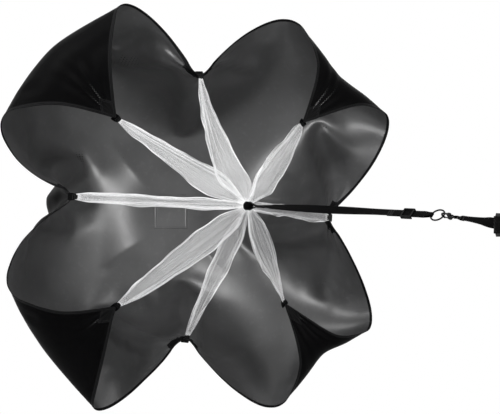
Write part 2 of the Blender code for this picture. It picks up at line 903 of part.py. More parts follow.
def cylinder_mesh(name, start, end, radius, sides=14, end_radius=None):
    """A round bar or cone from start to end."""
    start, end = Vector(start), Vector(end)
    along = (end - start).normalized()
    side = along.orthogonal().normalized()
    other = along.cross(side)
    rings = []
    for middle, size in ((start, radius), (end, radius if end_radius is None else end_radius)):
        ring = []
        for j in range(sides):
            turn = 2 * math.pi * (j + 0.5) / sides
            ring.append(middle + side * size * math.cos(turn) + other * size * math.sin(turn))
        rings.append(ring)
    return loft(name, rings, 40)


def make_snap():
    """Hook, barrel and swivel post. The ring's wire passes through the hook along z."""
    place = snap_frame()
    path = [(snap_shank_end + overrun, -snap_bay), (0, -snap_bay)]
    path += [
        (snap_bay * math.cos(a), snap_bay * math.sin(a))
        for a in [math.radians(-90 - (270 - snap_tip_deg) * i / 12) for i in range(1, 13)]
    ]
    points = [Vector((x, y, 0)) for x, y in path]
    rings = []
    for i, point in enumerate(points):
        ahead = (points[min(i + 1, len(points) - 1)] - points[max(i - 1, 0)]).normalized()
        side = ahead.cross(Vector((0, 0, 1)))
        ring = []
        for j in range(wire_sides):
            turn = 2 * math.pi * (j + 0.5) / wire_sides
            up = Vector((0, 0, 1)) * snap_wire * math.sin(turn)
            ring.append(point + side * snap_wire * math.cos(turn) + up)
        rings.append(ring)
    body = node("snap_body", loft("snap_body", rings, 60), alloy, tow, place)
    start, end = snap_body_start, snap_body_start + snap_body_length
    outline = rounded_rectangle(snap_body_length / 2, snap_body_half, snap_wire)
    middle = (start + end) / 2
    head = end + post_length
    half = snap_body_thick / 2
    barrel = [[(a + middle, b, z) for a, b in outline] for z in (-half, half)]
    solids = {
        "barrel": loft("barrel", barrel, 30),
        "post": cylinder_mesh(
            "post", (end - overrun, 0, 0), (head + post_head / 2, 0, 0), post_radius
        ),
        "post_head": cylinder_mesh(
            "post_head", (head, 0, 0), (head + post_head, 0, 0), post_head_radius
        ),
    }
    for name, mesh in solids.items():
        boolean(body, cutter(f"snap_{name}", mesh, tow, place), "UNION")
    bore = bolt_radius + bolt_clear
    slot_low = start + overrun / 2
    slot_high = slot_low + 2 * (knob_radius + bolt_clear) + bolt_travel
    holes = {
        "bolt_bore": cylinder_mesh(
            "bolt_bore", (start - overrun, snap_bay, 0), (end + overrun, snap_bay, 0), bore
        ),
        "knob_slot": box_mesh(
            "knob_slot",
            (slot_low, snap_bay, -knob_radius - bolt_clear),
            (slot_high, snap_body_half + overrun, knob_radius + bolt_clear),
        ),
    }
    for name, mesh in holes.items():
        boolean(body, cutter(f"snap_{name}", mesh, tow, place), "DIFFERENCE")


def make_bolt():
    """The sprung bolt that closes the hook, with its thumb knob."""
    place = snap_frame() @ Matrix.Translation((0, snap_bay, 0))
    lean = math.radians(snap_tip_deg)
    start = snap_bay * math.cos(lean) + touch + bolt_clear
    end = snap_body_start + snap_body_length - bolt_travel - bolt_clear
    mesh = cylinder_mesh("snap_bolt", (start, 0, 0), (end, 0, 0), bolt_radius)
    body = node("snap_bolt", mesh, alloy, tow, place)
    at = snap_body_start + overrun / 2 + knob_radius + bolt_clear
    top = snap_body_half - snap_bay + knob_stand
    knob = cylinder_mesh("knob", (at, 0, 0), (at, top, 0), knob_radius, 12)
    boolean(body, cutter("bolt_knob", knob, tow, place), "UNION")


def make_eye():
    """The swivel eye: a collar that turns on the post, and a bail for the strap."""
    start = snap_body_start + snap_body_length + eye_clear
    end = start + post_length - 2 * eye_clear
    collar = cylinder_mesh("swivel_eye", (start, 0, 0), (end, 0, 0), eye_collar_radius, 18)
    body = node("swivel_eye", collar, alloy, tow)
    half_long = (eye_bar_at - (start + end) / 2) / 2
    outline = rounded_rectangle(half_long, eye_half, eye_corner)
    middle = (start + end) / 2 + half_long
    points = [Vector((a + middle, b, 0)) for a, b in outline]
    bail = torus("eye_bail", points, eye_wire, steel, tow, None, (0, 0, 1))
    bail.hide_render = True
    bail.display_type = "WIRE"
    boolean(body, bail, "UNION")
    bore = cylinder_mesh(
        "eye_bore", (start - overrun, 0, 0), (end + overrun / 4, 0, 0), post_radius + eye_clear
    )
    boolean(body, cutter("eye_bore", bore, tow), "DIFFERENCE")
    room = post_head_radius + eye_clear
    head_room = cylinder_mesh("head_room", (end, 0, 0), (end + post_head + overrun, 0, 0), room)
    boolean(body, cutter("eye_head_room", head_room, tow), "DIFFERENCE")


def make_tow_strap():
    """A loop round the swivel eye's bar, a run that turns upright, a loop round the link."""
    ply = (tow_thick + ply_clear) / 2
    eye_bend = tow_fold_bore + tow_thick / 2
    link_bend = link_wire + link_slack + tow_thick / 2
    near_hem, far_hem = eye_bar_at + tow_hem, link_near - tow_hem
    path = [(near_hem, ply), (eye_bar_at + tow_hem / 2, ply)]
    path += arc(eye_bar_at, eye_bend, 90, 270, 8)
    path += [(eye_bar_at + tow_hem / 2, -ply), (near_hem, -ply)]
    count = 9
    path += [(near_hem + (far_hem - near_hem) * i / count, -ply) for i in range(1, count + 1)]
    path += [(link_near - tow_hem / 2, -ply)]
    path += arc(link_near, link_bend, -90, 90, 8)
    path += [(link_near - tow_hem / 2, ply), (far_hem, ply)]
    upright = math.radians(90)
    rolls = [(near_hem, upright), (tow_edge_on, math.radians(70)), (far_hem, 0.0)]
    widths = [(near_hem, tow_gathered_width), (far_hem, tow_width)]
    stations = [(x, off, eased(x, rolls), eased(x, widths)) for x, off in path]
    strap("tow_strap", stations, tow_thick, webbing_black, tow)


def make_link():
    """The rectangular steel ring between the tow strap and the belt. Its bars are upright."""
    outline = rounded_rectangle(link_reach / 2, link_half, link_corner, 3)
    points = [Vector((a + link_reach / 2, 0, b)) for a, b in outline]
    torus("belt_link", points, link_wire, steel, link, None, (0, 1, 0))


# The belt's plan: u runs across the wearer's back, and v from the link to the front
belt_face = link_tab_neck + link_tab_thick + touch
belt_back = belt_face + belt_thick / 2
belt_front = belt_back + 2 * belt_radius


def belt_ribbon(name, path, width, thick, finish):
    """Upright webbing along a level path of (u, v), in the belt's frame."""
    rings = []
    for i, (u, v) in enumerate(path):
        before, after = path[max(i - 1, 0)], path[min(i + 1, len(path) - 1)]
        run = Vector((after[1] - before[1], after[0] - before[0], 0)).normalized()
        normal = Vector((-run.y, run.x, 0))
        middle = Vector((v, u, 0))
        rings.append(
            [
                middle + Vector((0, 0, a * width / 2)) + normal * b * thick / 2
                for a, b in ((1, 1), (-1, 1), (-1, -1), (1, -1))
            ]
        )
    return node(name, loft(name, rings, 30), finish, belt)


def side_arc(hand, inset, steps, from_deg=0, to_deg=180):
    """Half a turn round one hip, from the back to the front, for hand 1 or -1."""
    radius = belt_radius - inset
    found = []
    for i in range(steps + 1):
        turn = math.radians(from_deg + (to_deg - from_deg) * i / steps)
        u = hand * (belt_straight / 2 + radius * math.sin(turn))
        found.append((u, belt_back + belt_radius - radius * math.cos(turn)))
    return found


bar_half = buckle_bar / math.sqrt(2)
female_bar_u = socket_length + frame_length - bar_half
male_bar_u = male_base_length - bar_half
bar_out = belt_thick / 2 + touch + buckle_thick / 2
bar_bend = buckle_bar + touch + belt_thick / 2


def fold_path(bar_u, hand, lower, hem):
    """Webbing up through a buckle's slot, over its bar and back, from the layer below."""
    found = []
    for i in range(9):
        turn = math.radians(-90 + 180 * i / 8)
        u = bar_u - bar_bend * math.cos(turn)
        found.append((hand * u, belt_front + bar_out + bar_bend * math.sin(turn)))
    found[0] = (hand * bar_u, belt_front + lower)
    return found + hem


def make_belt_webbing():
    """From under the male half, round the back, to the fold on the female half."""
    lap = belt_thick + touch
    path = [(-male_bar_u + buckle_bar * 2, belt_front), (-belt_straight / 2, belt_front)]
    path += side_arc(-1, 0, belt_arc_steps)[::-1][1:]
    path += side_arc(1, 0, belt_arc_steps)
    start = bar_out - bar_bend
    hem = [
        (female_bar_u + bar_bend, belt_front + bar_out + bar_bend),
        (female_bar_u + bar_bend * 3, belt_front + lap + touch),
        (female_bar_u + bar_bend * 3 + belt_hem / 2, belt_front + lap),
    ]
    path += fold_path(female_bar_u, 1, start, hem)
    belt_ribbon("belt_webbing", path, belt_width, belt_thick, webbing_black)


def make_tail():
    """The loose end: round the male half's bar and back along the outside."""
    lower = belt_thick + touch
    path = [(-male_bar_u - bar_bend, belt_front + lower)]
    lift = belt_front + bar_out + bar_bend
    hem = [
        (-male_bar_u - bar_bend, lift),
        (-male_bar_u - tail_length / 2, lift + tail_lift / 4),
        (-male_bar_u - tail_length * 0.8, lift + tail_lift / 2),
        (-male_bar_u - tail_length, lift + tail_lift),
    ]
    path += fold_path(male_bar_u, -1, lower, hem)
    belt_ribbon("belt_tail", path, belt_width, belt_thick, webbing_black)


def make_pad():
    """The back pad inside the webbing: flat in the middle, curved at both ends."""
    inset = belt_thick / 2 + touch + pad_thick / 2
    end_deg = 180 * pad_wrap_steps / belt_arc_steps
    ends = [side_arc(hand, inset, pad_wrap_steps, 0, end_deg) for hand in (-1, 1)]
    path = ends[0][::-1] + ends[1]
    pad = belt_ribbon("belt_pad", path, pad_width, pad_thick, padding)
    rounded(pad, pad_round)


def make_link_tab():
    """The tab that holds the link: sewn flat on the belt, folded round the far bar."""
    bend = link_tab_bore + link_tab_thick / 2
    ply = (link_tab_thick + ply_clear) / 2
    face = belt_back - belt_thick / 2 - touch - link_tab_thick / 2
    path = [(link_tab_arm, face), (ply + link_tab_thick * 2, face)]
    path += [(ply + link_tab_thick / 2, face - link_tab_thick / 2)]
    for i in range(11):
        turn = math.radians(50 + 260 * i / 10)
        path.append((bend * math.sin(turn), bend * math.cos(turn)))
    path += [(-ply - link_tab_thick / 2, face - link_tab_thick / 2)]
    path += [(-ply - link_tab_thick * 2, face), (-link_tab_arm, face)]
    belt_ribbon("link_tab", path, link_tab_width, link_tab_thick, webbing_black)


# The buckle's frame: x runs from the male half to the female half, y is out from the
# wearer and z is up. The halves meet at x = 0
def buckle_place():
    turned = Matrix(((0, 1, 0, 0), (1, 0, 0, 0), (0, 0, 1, 0), (0, 0, 0, 1)))
    out = belt_front + belt_thick / 2 + touch + buckle_thick / 2
    return Matrix.Translation((out, 0, 0)) @ turned


def make_female():
    """A flat socket, open at its mouth and at both sides, with a bar for the webbing."""
    place = buckle_place()
    half_wide, half_thick = buckle_width / 2, buckle_thick / 2
    length = socket_length + frame_length
    outline = rounded_rectangle(length / 2, half_wide, frame_rail)
    rings = [[(a + length / 2, y, b) for a, b in outline] for y in (-half_thick, half_thick)]
    body = node("buckle_female", loft("buckle_female", rings, 30), plastic, belt, place)
    rounded(body, buckle_round)
    inner_wide, inner_thick = half_wide - buckle_wall, half_thick - buckle_wall
    slot_end = length - 2 * bar_half
    window = window_from_mouth + window_length
    cuts = {
        "socket": (
            (-overrun, -inner_thick, -inner_wide),
            (socket_length - buckle_wall, inner_thick, inner_wide),
        ),
        "slot": (
            (socket_length, -half_thick - overrun, -belt_width / 2 - buckle_clear),
            (slot_end, half_thick + overrun, belt_width / 2 + buckle_clear),
        ),
        "over_bar": (
            (socket_length, bar_half, -belt_width / 2 - buckle_clear),
            (length + overrun, half_thick + overrun, belt_width / 2 + buckle_clear),
        ),
        "under_bar": (
            (socket_length, -half_thick - overrun, -belt_width / 2 - buckle_clear),
            (length + overrun, -bar_half, belt_width / 2 + buckle_clear),
        ),
        "windows": (
            (window_from_mouth, -prong_thick / 2 - buckle_clear, -half_wide - overrun),
            (window, prong_thick / 2 + buckle_clear, half_wide + overrun),
        ),
    }
    for name, (low, high) in cuts.items():
        tool = cutter(f"female_{name}", box_mesh(name, low, high), belt, place)
        boolean(body, tool, "DIFFERENCE")


def prong(hand):
    """One sprung arm with its barb, in plan, as (x, z) points."""
    inner = prong_spread - prong_wide
    outline = [
        (-overrun, inner),
        (prong_reach - prong_barb, inner),
        (prong_reach, inner + prong_wide / 4),
        (prong_reach - prong_wide / 4, inner + prong_wide),
        (window_from_mouth + buckle_clear * 2, prong_spread + prong_barb),
        (window_from_mouth + buckle_clear * 2, prong_spread),
        (-overrun, prong_spread),
    ]
    half = prong_thick / 2
    rings = [[(x, y, hand * z) for x, z in outline] for y in (-half, half)]
    return loft("prong", rings, 30)


def make_male():
    """A frame with a bar for the webbing, a middle guide and two barbed arms."""
    place = buckle_place()
    half_wide, half_thick = buckle_width / 2, buckle_thick / 2
    start = -male_base_length
    outline = rounded_rectangle(male_base_length / 2, half_wide, frame_rail)
    middle = start / 2
    rings = [[(a + middle - touch, y, b) for a, b in outline] for y in (-half_thick, half_thick)]
    body = node("buckle_male", loft("buckle_male", rings, 30), plastic, belt, place)
    rounded(body, buckle_round)
    guide = box_mesh(
        "guide",
        (-overrun, -prong_thick / 2, -guide_width / 2),
        (prong_reach - prong_barb, prong_thick / 2, guide_width / 2),
    )
    boolean(body, cutter("male_guide", guide, belt, place), "UNION")
    for hand in (-1, 1):
        tool = cutter(f"male_prong_{hand}", prong(hand), belt, place)
        boolean(body, tool, "UNION")
    slot_start, slot_end = start + 2 * bar_half, -male_base_length / 2
    cuts = {
        "slot": (
            (slot_start, -half_thick - overrun, -belt_width / 2 - buckle_clear),
            (slot_end, half_thick + overrun, belt_width / 2 + buckle_clear),
        ),
        "over_bar": (
            (start - overrun, bar_half, -belt_width / 2 - buckle_clear),
            (slot_end, half_thick + overrun, belt_width / 2 + buckle_clear),
        ),
        "under_bar": (
            (start - overrun, -half_thick - overrun, -belt_width / 2 - buckle_clear),
            (slot_end, -bar_half, belt_width / 2 + buckle_clear),
        ),
    }
    for name, (low, high) in cuts.items():
        tool = cutter(f"male_{name}", box_mesh(name, low, high), belt, place)
        boolean(body, tool, "DIFFERENCE")


make_gores()
make_bindings()
make_patch()
for i in range(8):
    make_strip(i)
    make_tab(i)
make_gather()
make_leash()
make_glide()
make_ring()
make_snap()
make_bolt()
make_eye()
make_tow_strap()
make_link()
make_belt_webbing()
make_tail()
make_pad()
make_link_tab()
make_female()
make_male()
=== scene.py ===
import math
import bpy
import numpy as np
from mathutils import Matrix, Vector


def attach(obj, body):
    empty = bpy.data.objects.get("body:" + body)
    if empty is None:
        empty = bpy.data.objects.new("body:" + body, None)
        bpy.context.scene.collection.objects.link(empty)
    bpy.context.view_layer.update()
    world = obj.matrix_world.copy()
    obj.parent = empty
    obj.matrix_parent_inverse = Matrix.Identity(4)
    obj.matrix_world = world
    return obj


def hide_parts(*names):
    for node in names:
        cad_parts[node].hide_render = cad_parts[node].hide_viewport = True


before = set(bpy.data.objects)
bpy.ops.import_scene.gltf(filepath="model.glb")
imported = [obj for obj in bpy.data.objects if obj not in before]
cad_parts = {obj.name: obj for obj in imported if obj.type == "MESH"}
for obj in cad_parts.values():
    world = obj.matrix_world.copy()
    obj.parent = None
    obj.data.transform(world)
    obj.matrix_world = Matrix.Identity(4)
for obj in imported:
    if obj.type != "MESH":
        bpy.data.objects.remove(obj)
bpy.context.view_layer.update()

imageWide = 500    # the photo's width in pixels, which the lens is worked out from

# Places that part.py sets, in metres: the crown is at the origin and the gather ahead of it
mouthRadius, gatherAhead, clothSide = 0.385, 0.565, 1.42
crownY, mouthY = 0.0015, -0.4845
halfSide = clothSide / 2
gatherPoint = np.array([0.0, mouthY - gatherAhead, 0.0])
anchorNames = ("right", "top_right", "top", "top_left", "left", "bottom_left", "bottom", "bottom_right")
anchorTurns = (-3.5, -4.7, 1.2, -1.3, -5.2, 3.1, -7.2, -2.9)
anchorShares = (1.02, 1.04, 1.03, 0.95, 1.0, 0.99, 1.0, 0.98)
corners = ((1, 0), (1, 1), (0, 1), (-1, 1), (-1, 0), (-1, -1), (0, -1), (1, -1))
stripReach = math.hypot(gatherAhead, mouthRadius)


def anchorPlace(i):
    # Every strip is as long as the next, so an anchor nearer the axis lies farther behind the gather:
    # the square root of the reach squared less the radius squared.
    turn = math.radians(45 * i + anchorTurns[i])
    radius = mouthRadius * anchorShares[i]
    back = math.sqrt(stripReach**2 - radius**2)
    return gatherPoint + np.array([radius * math.cos(turn), back, radius * math.sin(turn)])


anchors = np.array([anchorPlace(i) for i in range(8)])


def unit(v):
    # Each direction divided by its length.
    return v / np.maximum(np.linalg.norm(v, axis=-1, keepdims=True), 1e-12)


def smooth(x):
    # From 0 to 1, level at both ends: three times x squared less twice x cubed.
    x = np.clip(x, 0, 1)
    return x * x * (3 - 2 * x)


# Camera, light and floor
def makeView():
    # The camera looks at its target from the azimuth and the elevation. The lens is as many
    # sensor widths long as the focal pixels are picture widths.
    view = {"azimuth": -14.0, "elevation": -1.0, "distance": 3.849, "focalPixels": 1488.8,
            "target": (0.005, -1.0495, -0.003)}
    az, el = math.radians(view["azimuth"]), math.radians(view["elevation"])
    back = Vector((math.sin(az) * math.cos(el), -math.cos(az) * math.cos(el), math.sin(el)))
    right = Vector((math.cos(az), math.sin(az), 0))
    up = back.cross(right)
    turn = Matrix((right, up, back)).transposed().to_4x4()
    lens = bpy.data.cameras.new("photoCamera")
    lens.sensor_width = 36
    lens.sensor_fit = "HORIZONTAL"
    lens.lens = view["focalPixels"] * lens.sensor_width / imageWide
    lens.clip_end = 100
    camera = bpy.data.objects.new("photoCamera", lens)
    bpy.context.scene.collection.objects.link(camera)
    camera.matrix_world = Matrix.Translation(Vector(view["target"]) + back * view["distance"]) @ turn
    bpy.context.scene.camera = camera


def makeLamp(name, place, aim, size, watts):
    # A round soft lamp, turned to its aim.
    lamp = bpy.data.lights.new(name, "AREA")
    lamp.shape = "DISK"
    lamp.size = size
    lamp.energy = watts
    made = bpy.data.objects.new(name, lamp)
    bpy.context.scene.collection.objects.link(made)
    made.location = place
    made.rotation_euler = (Vector(aim) - Vector(place)).to_track_quat("-Z", "Y").to_euler()


def makeLight():
    # Camera, glossy and transmission rays see a plain white world, and all others a dimmer one.
    # Each lamp is its name, its place, its width in metres and its watts.
    light = {"worldStrength": 0.30, "worldColour": (0.97, 0.98, 1.0), "aim": (0.0, -0.45, 0.0),
             "lamps": (("keyLamp", (1.9, -2.9, 0.1), 0.9, 38),
                       ("leftLamp", (-2.9, -2.2, 0.2), 0.8, 42),
                       ("highLamp", (-0.5, -2.5, 2.1), 0.9, 36),
                       ("highLeftLamp", (-1.8, -0.7, 2.4), 1.0, 30),
                       ("rearLamp", (1.4, 2.4, 1.8), 1.2, 16))}
    world = bpy.data.worlds.new("studio")
    bpy.context.scene.world = world
    world.use_nodes = True
    tree = world.node_tree
    tree.nodes.clear()
    out = tree.nodes.new("ShaderNodeOutputWorld")
    rays = tree.nodes.new("ShaderNodeLightPath")
    seen = tree.nodes.new("ShaderNodeMath")
    seen.operation = "ADD"
    both = tree.nodes.new("ShaderNodeMath")
    both.operation = "ADD"
    both.use_clamp = True
    tree.links.new(rays.outputs["Is Camera Ray"], seen.inputs[0])
    tree.links.new(rays.outputs["Is Glossy Ray"], seen.inputs[1])
    tree.links.new(seen.outputs[0], both.inputs[0])
    tree.links.new(rays.outputs["Is Transmission Ray"], both.inputs[1])
    plain = tree.nodes.new("ShaderNodeBackground")
    plain.inputs["Color"].default_value = (*light["worldColour"], 1)
    plain.inputs["Strength"].default_value = light["worldStrength"]
    white = tree.nodes.new("ShaderNodeBackground")
    white.inputs["Color"].default_value = (1, 1, 1, 1)
    white.inputs["Strength"].default_value = 1.0
    mix = tree.nodes.new("ShaderNodeMixShader")
    tree.links.new(both.outputs[0], mix.inputs[0])
    tree.links.new(plain.outputs[0], mix.inputs[1])
    tree.links.new(white.outputs[0], mix.inputs[2])
    tree.links.new(mix.outputs[0], out.inputs[0])
    for name, place, size, watts in light["lamps"]:
        makeLamp(name, place, light["aim"], size, watts)
    bpy.context.scene.view_settings.view_transform = "Standard"


def makeFloor():
    # A round sheet of pale paper that lies level below the part.
    paper = {"level": -1.15, "radius": 3.4, "middleY": -0.9, "sides": 96, "colour": (0.86, 0.86, 0.86)}
    turns = np.linspace(0, 2 * np.pi, paper["sides"], endpoint=False)
    points = np.stack([paper["radius"] * np.cos(turns), paper["middleY"] + paper["radius"] * np.sin(turns),
                       np.full_like(turns, paper["level"])], -1)
    mesh = bpy.data.meshes.new("floor")
    mesh.from_pydata(points.tolist(), [], [tuple(range(paper["sides"]))])
    floor = bpy.data.objects.new("floor", mesh)
    bpy.context.scene.collection.objects.link(floor)
    finish = bpy.data.materials.new("floorPaper")
    finish.use_nodes = True
    shader = finish.node_tree.nodes["Principled BSDF"]
    shader.inputs["Base Color"].default_value = (*paper["colour"], 1)
    shader.inputs["Roughness"].default_value = 0.8
    shader.inputs["Specular IOR Level"].default_value = 0.1
    mesh.materials.append(finish)


makeView()
makeLight()
makeFloor()
print("view and light made")


# Node helpers and materials
class Wiring:
    # Adds nodes to one tree. A socket or a plain number may stand for any value.
    def __init__(self, tree):
        self.tree = tree

    def add(self, kind, settings=None, **values):
        # A node of this kind. A socket's name is written with _ for each space.
        node = self.tree.nodes.new(kind)
        for key, value in (settings or {}).items():
            setattr(node, key, value)
        for key, value in values.items():
            self.put(node, key.replace("_", " "), value)
        return node

    def put(self, node, key, value):
        # Links a socket to an input, or writes the value into it.
        socket = node.inputs[key]
        if isinstance(value, bpy.types.NodeSocket):
            self.tree.links.new(value, socket)
        elif isinstance(value, tuple) and len(value) == 3 and socket.type == "RGBA":
            socket.default_value = (*value, 1)
        else:
            socket.default_value = value

    def math(self, kind, first, second=0.0, third=0.0):
        # A sum, product or other function of up to three numbers or sockets.
        node = self.tree.nodes.new("ShaderNodeMath")
        node.operation = kind
        for i, value in enumerate((first, second, third)):
            self.put(node, i, value)
        return node.outputs[0]

    def blend(self, share, first, second):
        # A colour between the first and the second.
        node = self.tree.nodes.new("ShaderNodeMix")
        node.data_type = "RGBA"
        self.put(node, 0, share)
        self.put(node, 6, first if isinstance(first, bpy.types.NodeSocket) else (*first, 1))
        self.put(node, 7, second if isinstance(second, bpy.types.NodeSocket) else (*second, 1))
        return node.outputs[2]

    def ramp(self, value, low, high, start=0.0, end=1.0):
        # Goes smoothly from start at low to end at high.
        node = self.tree.nodes.new("ShaderNodeMapRange")
        node.interpolation_type = "SMOOTHSTEP"
        for i, number in enumerate((value, low, high, start, end)):
            self.put(node, i, number)
        return node.outputs[0]

    def noise(self, where, scale, detail=2.0, rough=0.5):
        # Cloudy noise from 0 to 1, as many waves in a metre as the scale.
        node = self.add("ShaderNodeTexNoise", None, Vector=where, Scale=scale, Detail=detail, Roughness=rough)
        return node.outputs["Fac"]

    def parts(self, where):
        # The first two parts of a place.
        node = self.add("ShaderNodeSeparateXYZ", None, Vector=where)
        return node.outputs[0], node.outputs[1]


def shaderGroup(name, inputs, outputs, build):
    # A node group that build() fills. It is given the wiring and the inputs by name.
    group = bpy.data.node_groups.new(name, "ShaderNodeTree")
    for key, kind in inputs.items():
        group.interface.new_socket(name=key, in_out="INPUT", socket_type=kind)
    for key in outputs:
        group.interface.new_socket(name=key, in_out="OUTPUT", socket_type="NodeSocketFloat")
    start = group.nodes.new("NodeGroupInput")
    end = group.nodes.new("NodeGroupOutput")
    wiring = Wiring(group)
    found = build(wiring, *[start.outputs[key] for key in inputs])
    for key, socket in zip(outputs, found):
        group.links.new(socket, end.inputs[key])
    return group


def ripstop(w, place):
    # Fine plain weave, and a grid of thicker threads every 5 mm.
    pitch, squaresEachMetre, lineFrom = 0.0007, 200.0, 0.44
    x, y = w.parts(place)
    fine = w.math("MULTIPLY", w.math("SINE", w.math("MULTIPLY", x, 2 * math.pi / pitch)),
                  w.math("SINE", w.math("MULTIPLY", y, 2 * math.pi / pitch)))
    lines = []
    for part in (x, y):
        square = w.math("FRACT", w.math("MULTIPLY", part, squaresEachMetre))
        lines.append(w.ramp(w.math("ABSOLUTE", w.math("SUBTRACT", square, 0.5)), lineFrom, 0.5))
    line = w.math("MAXIMUM", lines[0], lines[1])
    return (w.math("ADD", w.math("MULTIPLY", fine, 0.25), line),)


def herringbone(w, place):
    # Ribs that slant one way and then the other across the webbing, 1.3 mm apart.
    ribPitch, threadPitch, zigzagWide = 0.0013, 0.00062, 0.0025
    x, y = w.parts(place)
    zigzag = w.math("PINGPONG", x, zigzagWide)
    rib = w.math("SINE", w.math("MULTIPLY", w.math("ADD", y, zigzag), 2 * math.pi / ribPitch))
    thread = w.math("SINE", w.math("MULTIPLY", x, 2 * math.pi / threadPitch))
    height = w.math("ADD", w.math("MULTIPLY", rib, 0.5), w.math("MULTIPLY", thread, 0.2))
    return height, w.ramp(rib, -1.0, 1.0)


def netting(w, place):
    # Knitted net: a diamond mesh of fine threads. The mask is 1 on a thread.
    acrossEachMetre, alongEachMetre, threadHalf, threadEdge = 620.0, 420.0, 0.105, 0.155
    x, y = w.parts(place)
    near = []
    for hand in (1, -1):
        slant = w.math("MULTIPLY", x, acrossEachMetre * hand)
        slant = w.math("ADD", slant, w.math("MULTIPLY", y, alongEachMetre))
        near.append(w.math("ABSOLUTE", w.math("SUBTRACT", w.math("FRACT", slant), 0.5)))
    closest = w.math("MINIMUM", near[0], near[1])
    mask = w.ramp(closest, threadHalf, threadEdge, 1.0, 0.0)
    return mask, w.ramp(closest, 0.0, 0.2, 1.0, 0.0)


def dashes(w, gap, run):
    # A row of stitches: gap is the way from the row, run the way along it, in metres.
    threadHalf, threadEdge, stitchesEachMetre = 0.00035, 0.0006, 330.0
    row = w.ramp(w.math("ABSOLUTE", gap), threadHalf, threadEdge, 1.0, 0.0)
    stitch = w.math("FRACT", w.math("MULTIPLY", run, stitchesEachMetre))
    along = w.math("ABSOLUTE", w.math("SUBTRACT", stitch, 0.5))
    return (w.math("MULTIPLY", row, w.ramp(along, 0.34, 0.42, 1.0, 0.0)),)


def soiling(w, place):
    # Cloudy dust and handling marks at two scales, from 0 to 1.
    wide = w.noise(place, 5.0, 3.0)
    close = w.noise(place, 60.0, 3.0, 0.6)
    cloud = w.ramp(wide, 0.42, 0.72)
    speck = w.ramp(close, 0.52, 0.75)
    return w.math("ADD", w.math("MULTIPLY", cloud, 0.6), w.math("MULTIPLY", speck, 0.4)), speck


vectorIn = {"Place": "NodeSocketVector"}
ripstopGroup = shaderGroup("ripstopWeave", vectorIn, ("Height",), ripstop)
herringboneGroup = shaderGroup("herringboneWeave", vectorIn, ("Height", "Rib"), herringbone)
nettingGroup = shaderGroup("nettingWeave", vectorIn, ("Mask", "Height"), netting)
soilingGroup = shaderGroup("soiling", vectorIn, ("Dust", "Speck"), soiling)
rowIn = {"Gap": "NodeSocketFloat", "Run": "NodeSocketFloat"}
dashGroup = shaderGroup("stitchRow", rowIn, ("Thread",), dashes)


class Finish:
    # One material: its wiring, its Principled shader and its two coordinates.
    def __init__(self, name):
        self.material = bpy.data.materials.new(name)
        self.material.use_nodes = True
        tree = self.material.node_tree
        self.w = Wiring(tree)
        self.shader = tree.nodes["Principled BSDF"]
        coordinates = tree.nodes.new("ShaderNodeTexCoord")
        self.uv, self.place = coordinates.outputs["UV"], coordinates.outputs["Object"]

    def set(self, **values):
        # Puts values or sockets on the shader.
        for key, value in values.items():
            self.w.put(self.shader, key.replace("_", " "), value)

    def group(self, group, **inputs):
        # One of the shared node groups, with its inputs.
        node = self.w.add("ShaderNodeGroup", {"node_tree": group})
        for key, value in inputs.items():
            self.w.put(node, key, value)
        return node

    def bump(self, height, distance, strength=1.0, under=None):
        # Relief from a height, over another relief where under is given.
        node = self.w.add("ShaderNodeBump", None, Strength=strength, Distance=distance, Height=height)
        if under is not None:
            self.w.put(node, "Normal", under)
        return node.outputs["Normal"]

    def attribute(self, name):
        # A number that the mesh holds for each of its points.
        return self.w.add("ShaderNodeAttribute", {"attribute_name": name}).outputs["Fac"]


def lighter(tone, times):
    # The tone, that many times as bright.
    return tuple(times * part for part in tone)


def nylonFinish(name, tone, alpha, gloss, specular, relief=1.0):
    # Ripstop nylon. A little light comes through a face whose alpha is under 1. The outside is black and
    # dull, and the inside is glossy and painted grey: painted light for the light that shines through the
    # thin cloth and glances off it. relief scales the weave's bumps.
    made = Finish(name)
    weave = made.group(ripstopGroup, Place=made.uv)
    soil = made.group(soilingGroup, Place=made.place)
    dusty = made.w.math("MULTIPLY", soil.outputs["Dust"], 0.4)
    colour = made.w.blend(dusty, tone, lighter(tone, 3.0))
    rough = made.w.math("ADD", gloss, made.w.math("MULTIPLY", soil.outputs["Dust"], 0.10))
    creases = made.w.noise(made.place, 26.0, 3.0, 0.55)
    under = made.bump(creases, 0.0016, 0.30 * relief)
    made.set(Base_Color=colour, Roughness=rough, Specular_IOR_Level=specular,
             Normal=made.bump(weave.outputs["Height"], 0.00010, 0.4 * relief, under))
    if alpha < 1:
        uneven = made.w.math("MULTIPLY", made.w.noise(made.place, 9.0, 2.0), 0.02)
        made.set(Alpha=made.w.math("SUBTRACT", alpha, uneven))
    return made


def doubledFinish(name):
    # The same cloth folded double: it lets no light through, and carries two stitch rows.
    sewing = {"rowsAt": (0.0022, 0.0064), "thread": (0.020, 0.020, 0.021), "threadHeight": 0.0004}
    made = nylonFinish(name, (0.0018, 0.0018, 0.0019), 1.0, 0.5, 0.05)
    gap, run = made.attribute("seamGap"), made.attribute("seamRun")
    rows = []
    for away in sewing["rowsAt"]:
        row = made.group(dashGroup, Gap=made.w.math("SUBTRACT", gap, away), Run=run)
        rows.append(row.outputs["Thread"])
    thread = made.w.math("MAXIMUM", rows[0], rows[1])
    held = made.shader.inputs["Base Color"].links[0].from_socket
    made.set(Base_Color=made.w.blend(thread, held, sewing["thread"]))
    cloth = made.shader.inputs["Normal"].links[0].from_socket
    made.set(Normal=made.bump(thread, sewing["threadHeight"], 0.8, cloth))
    return made


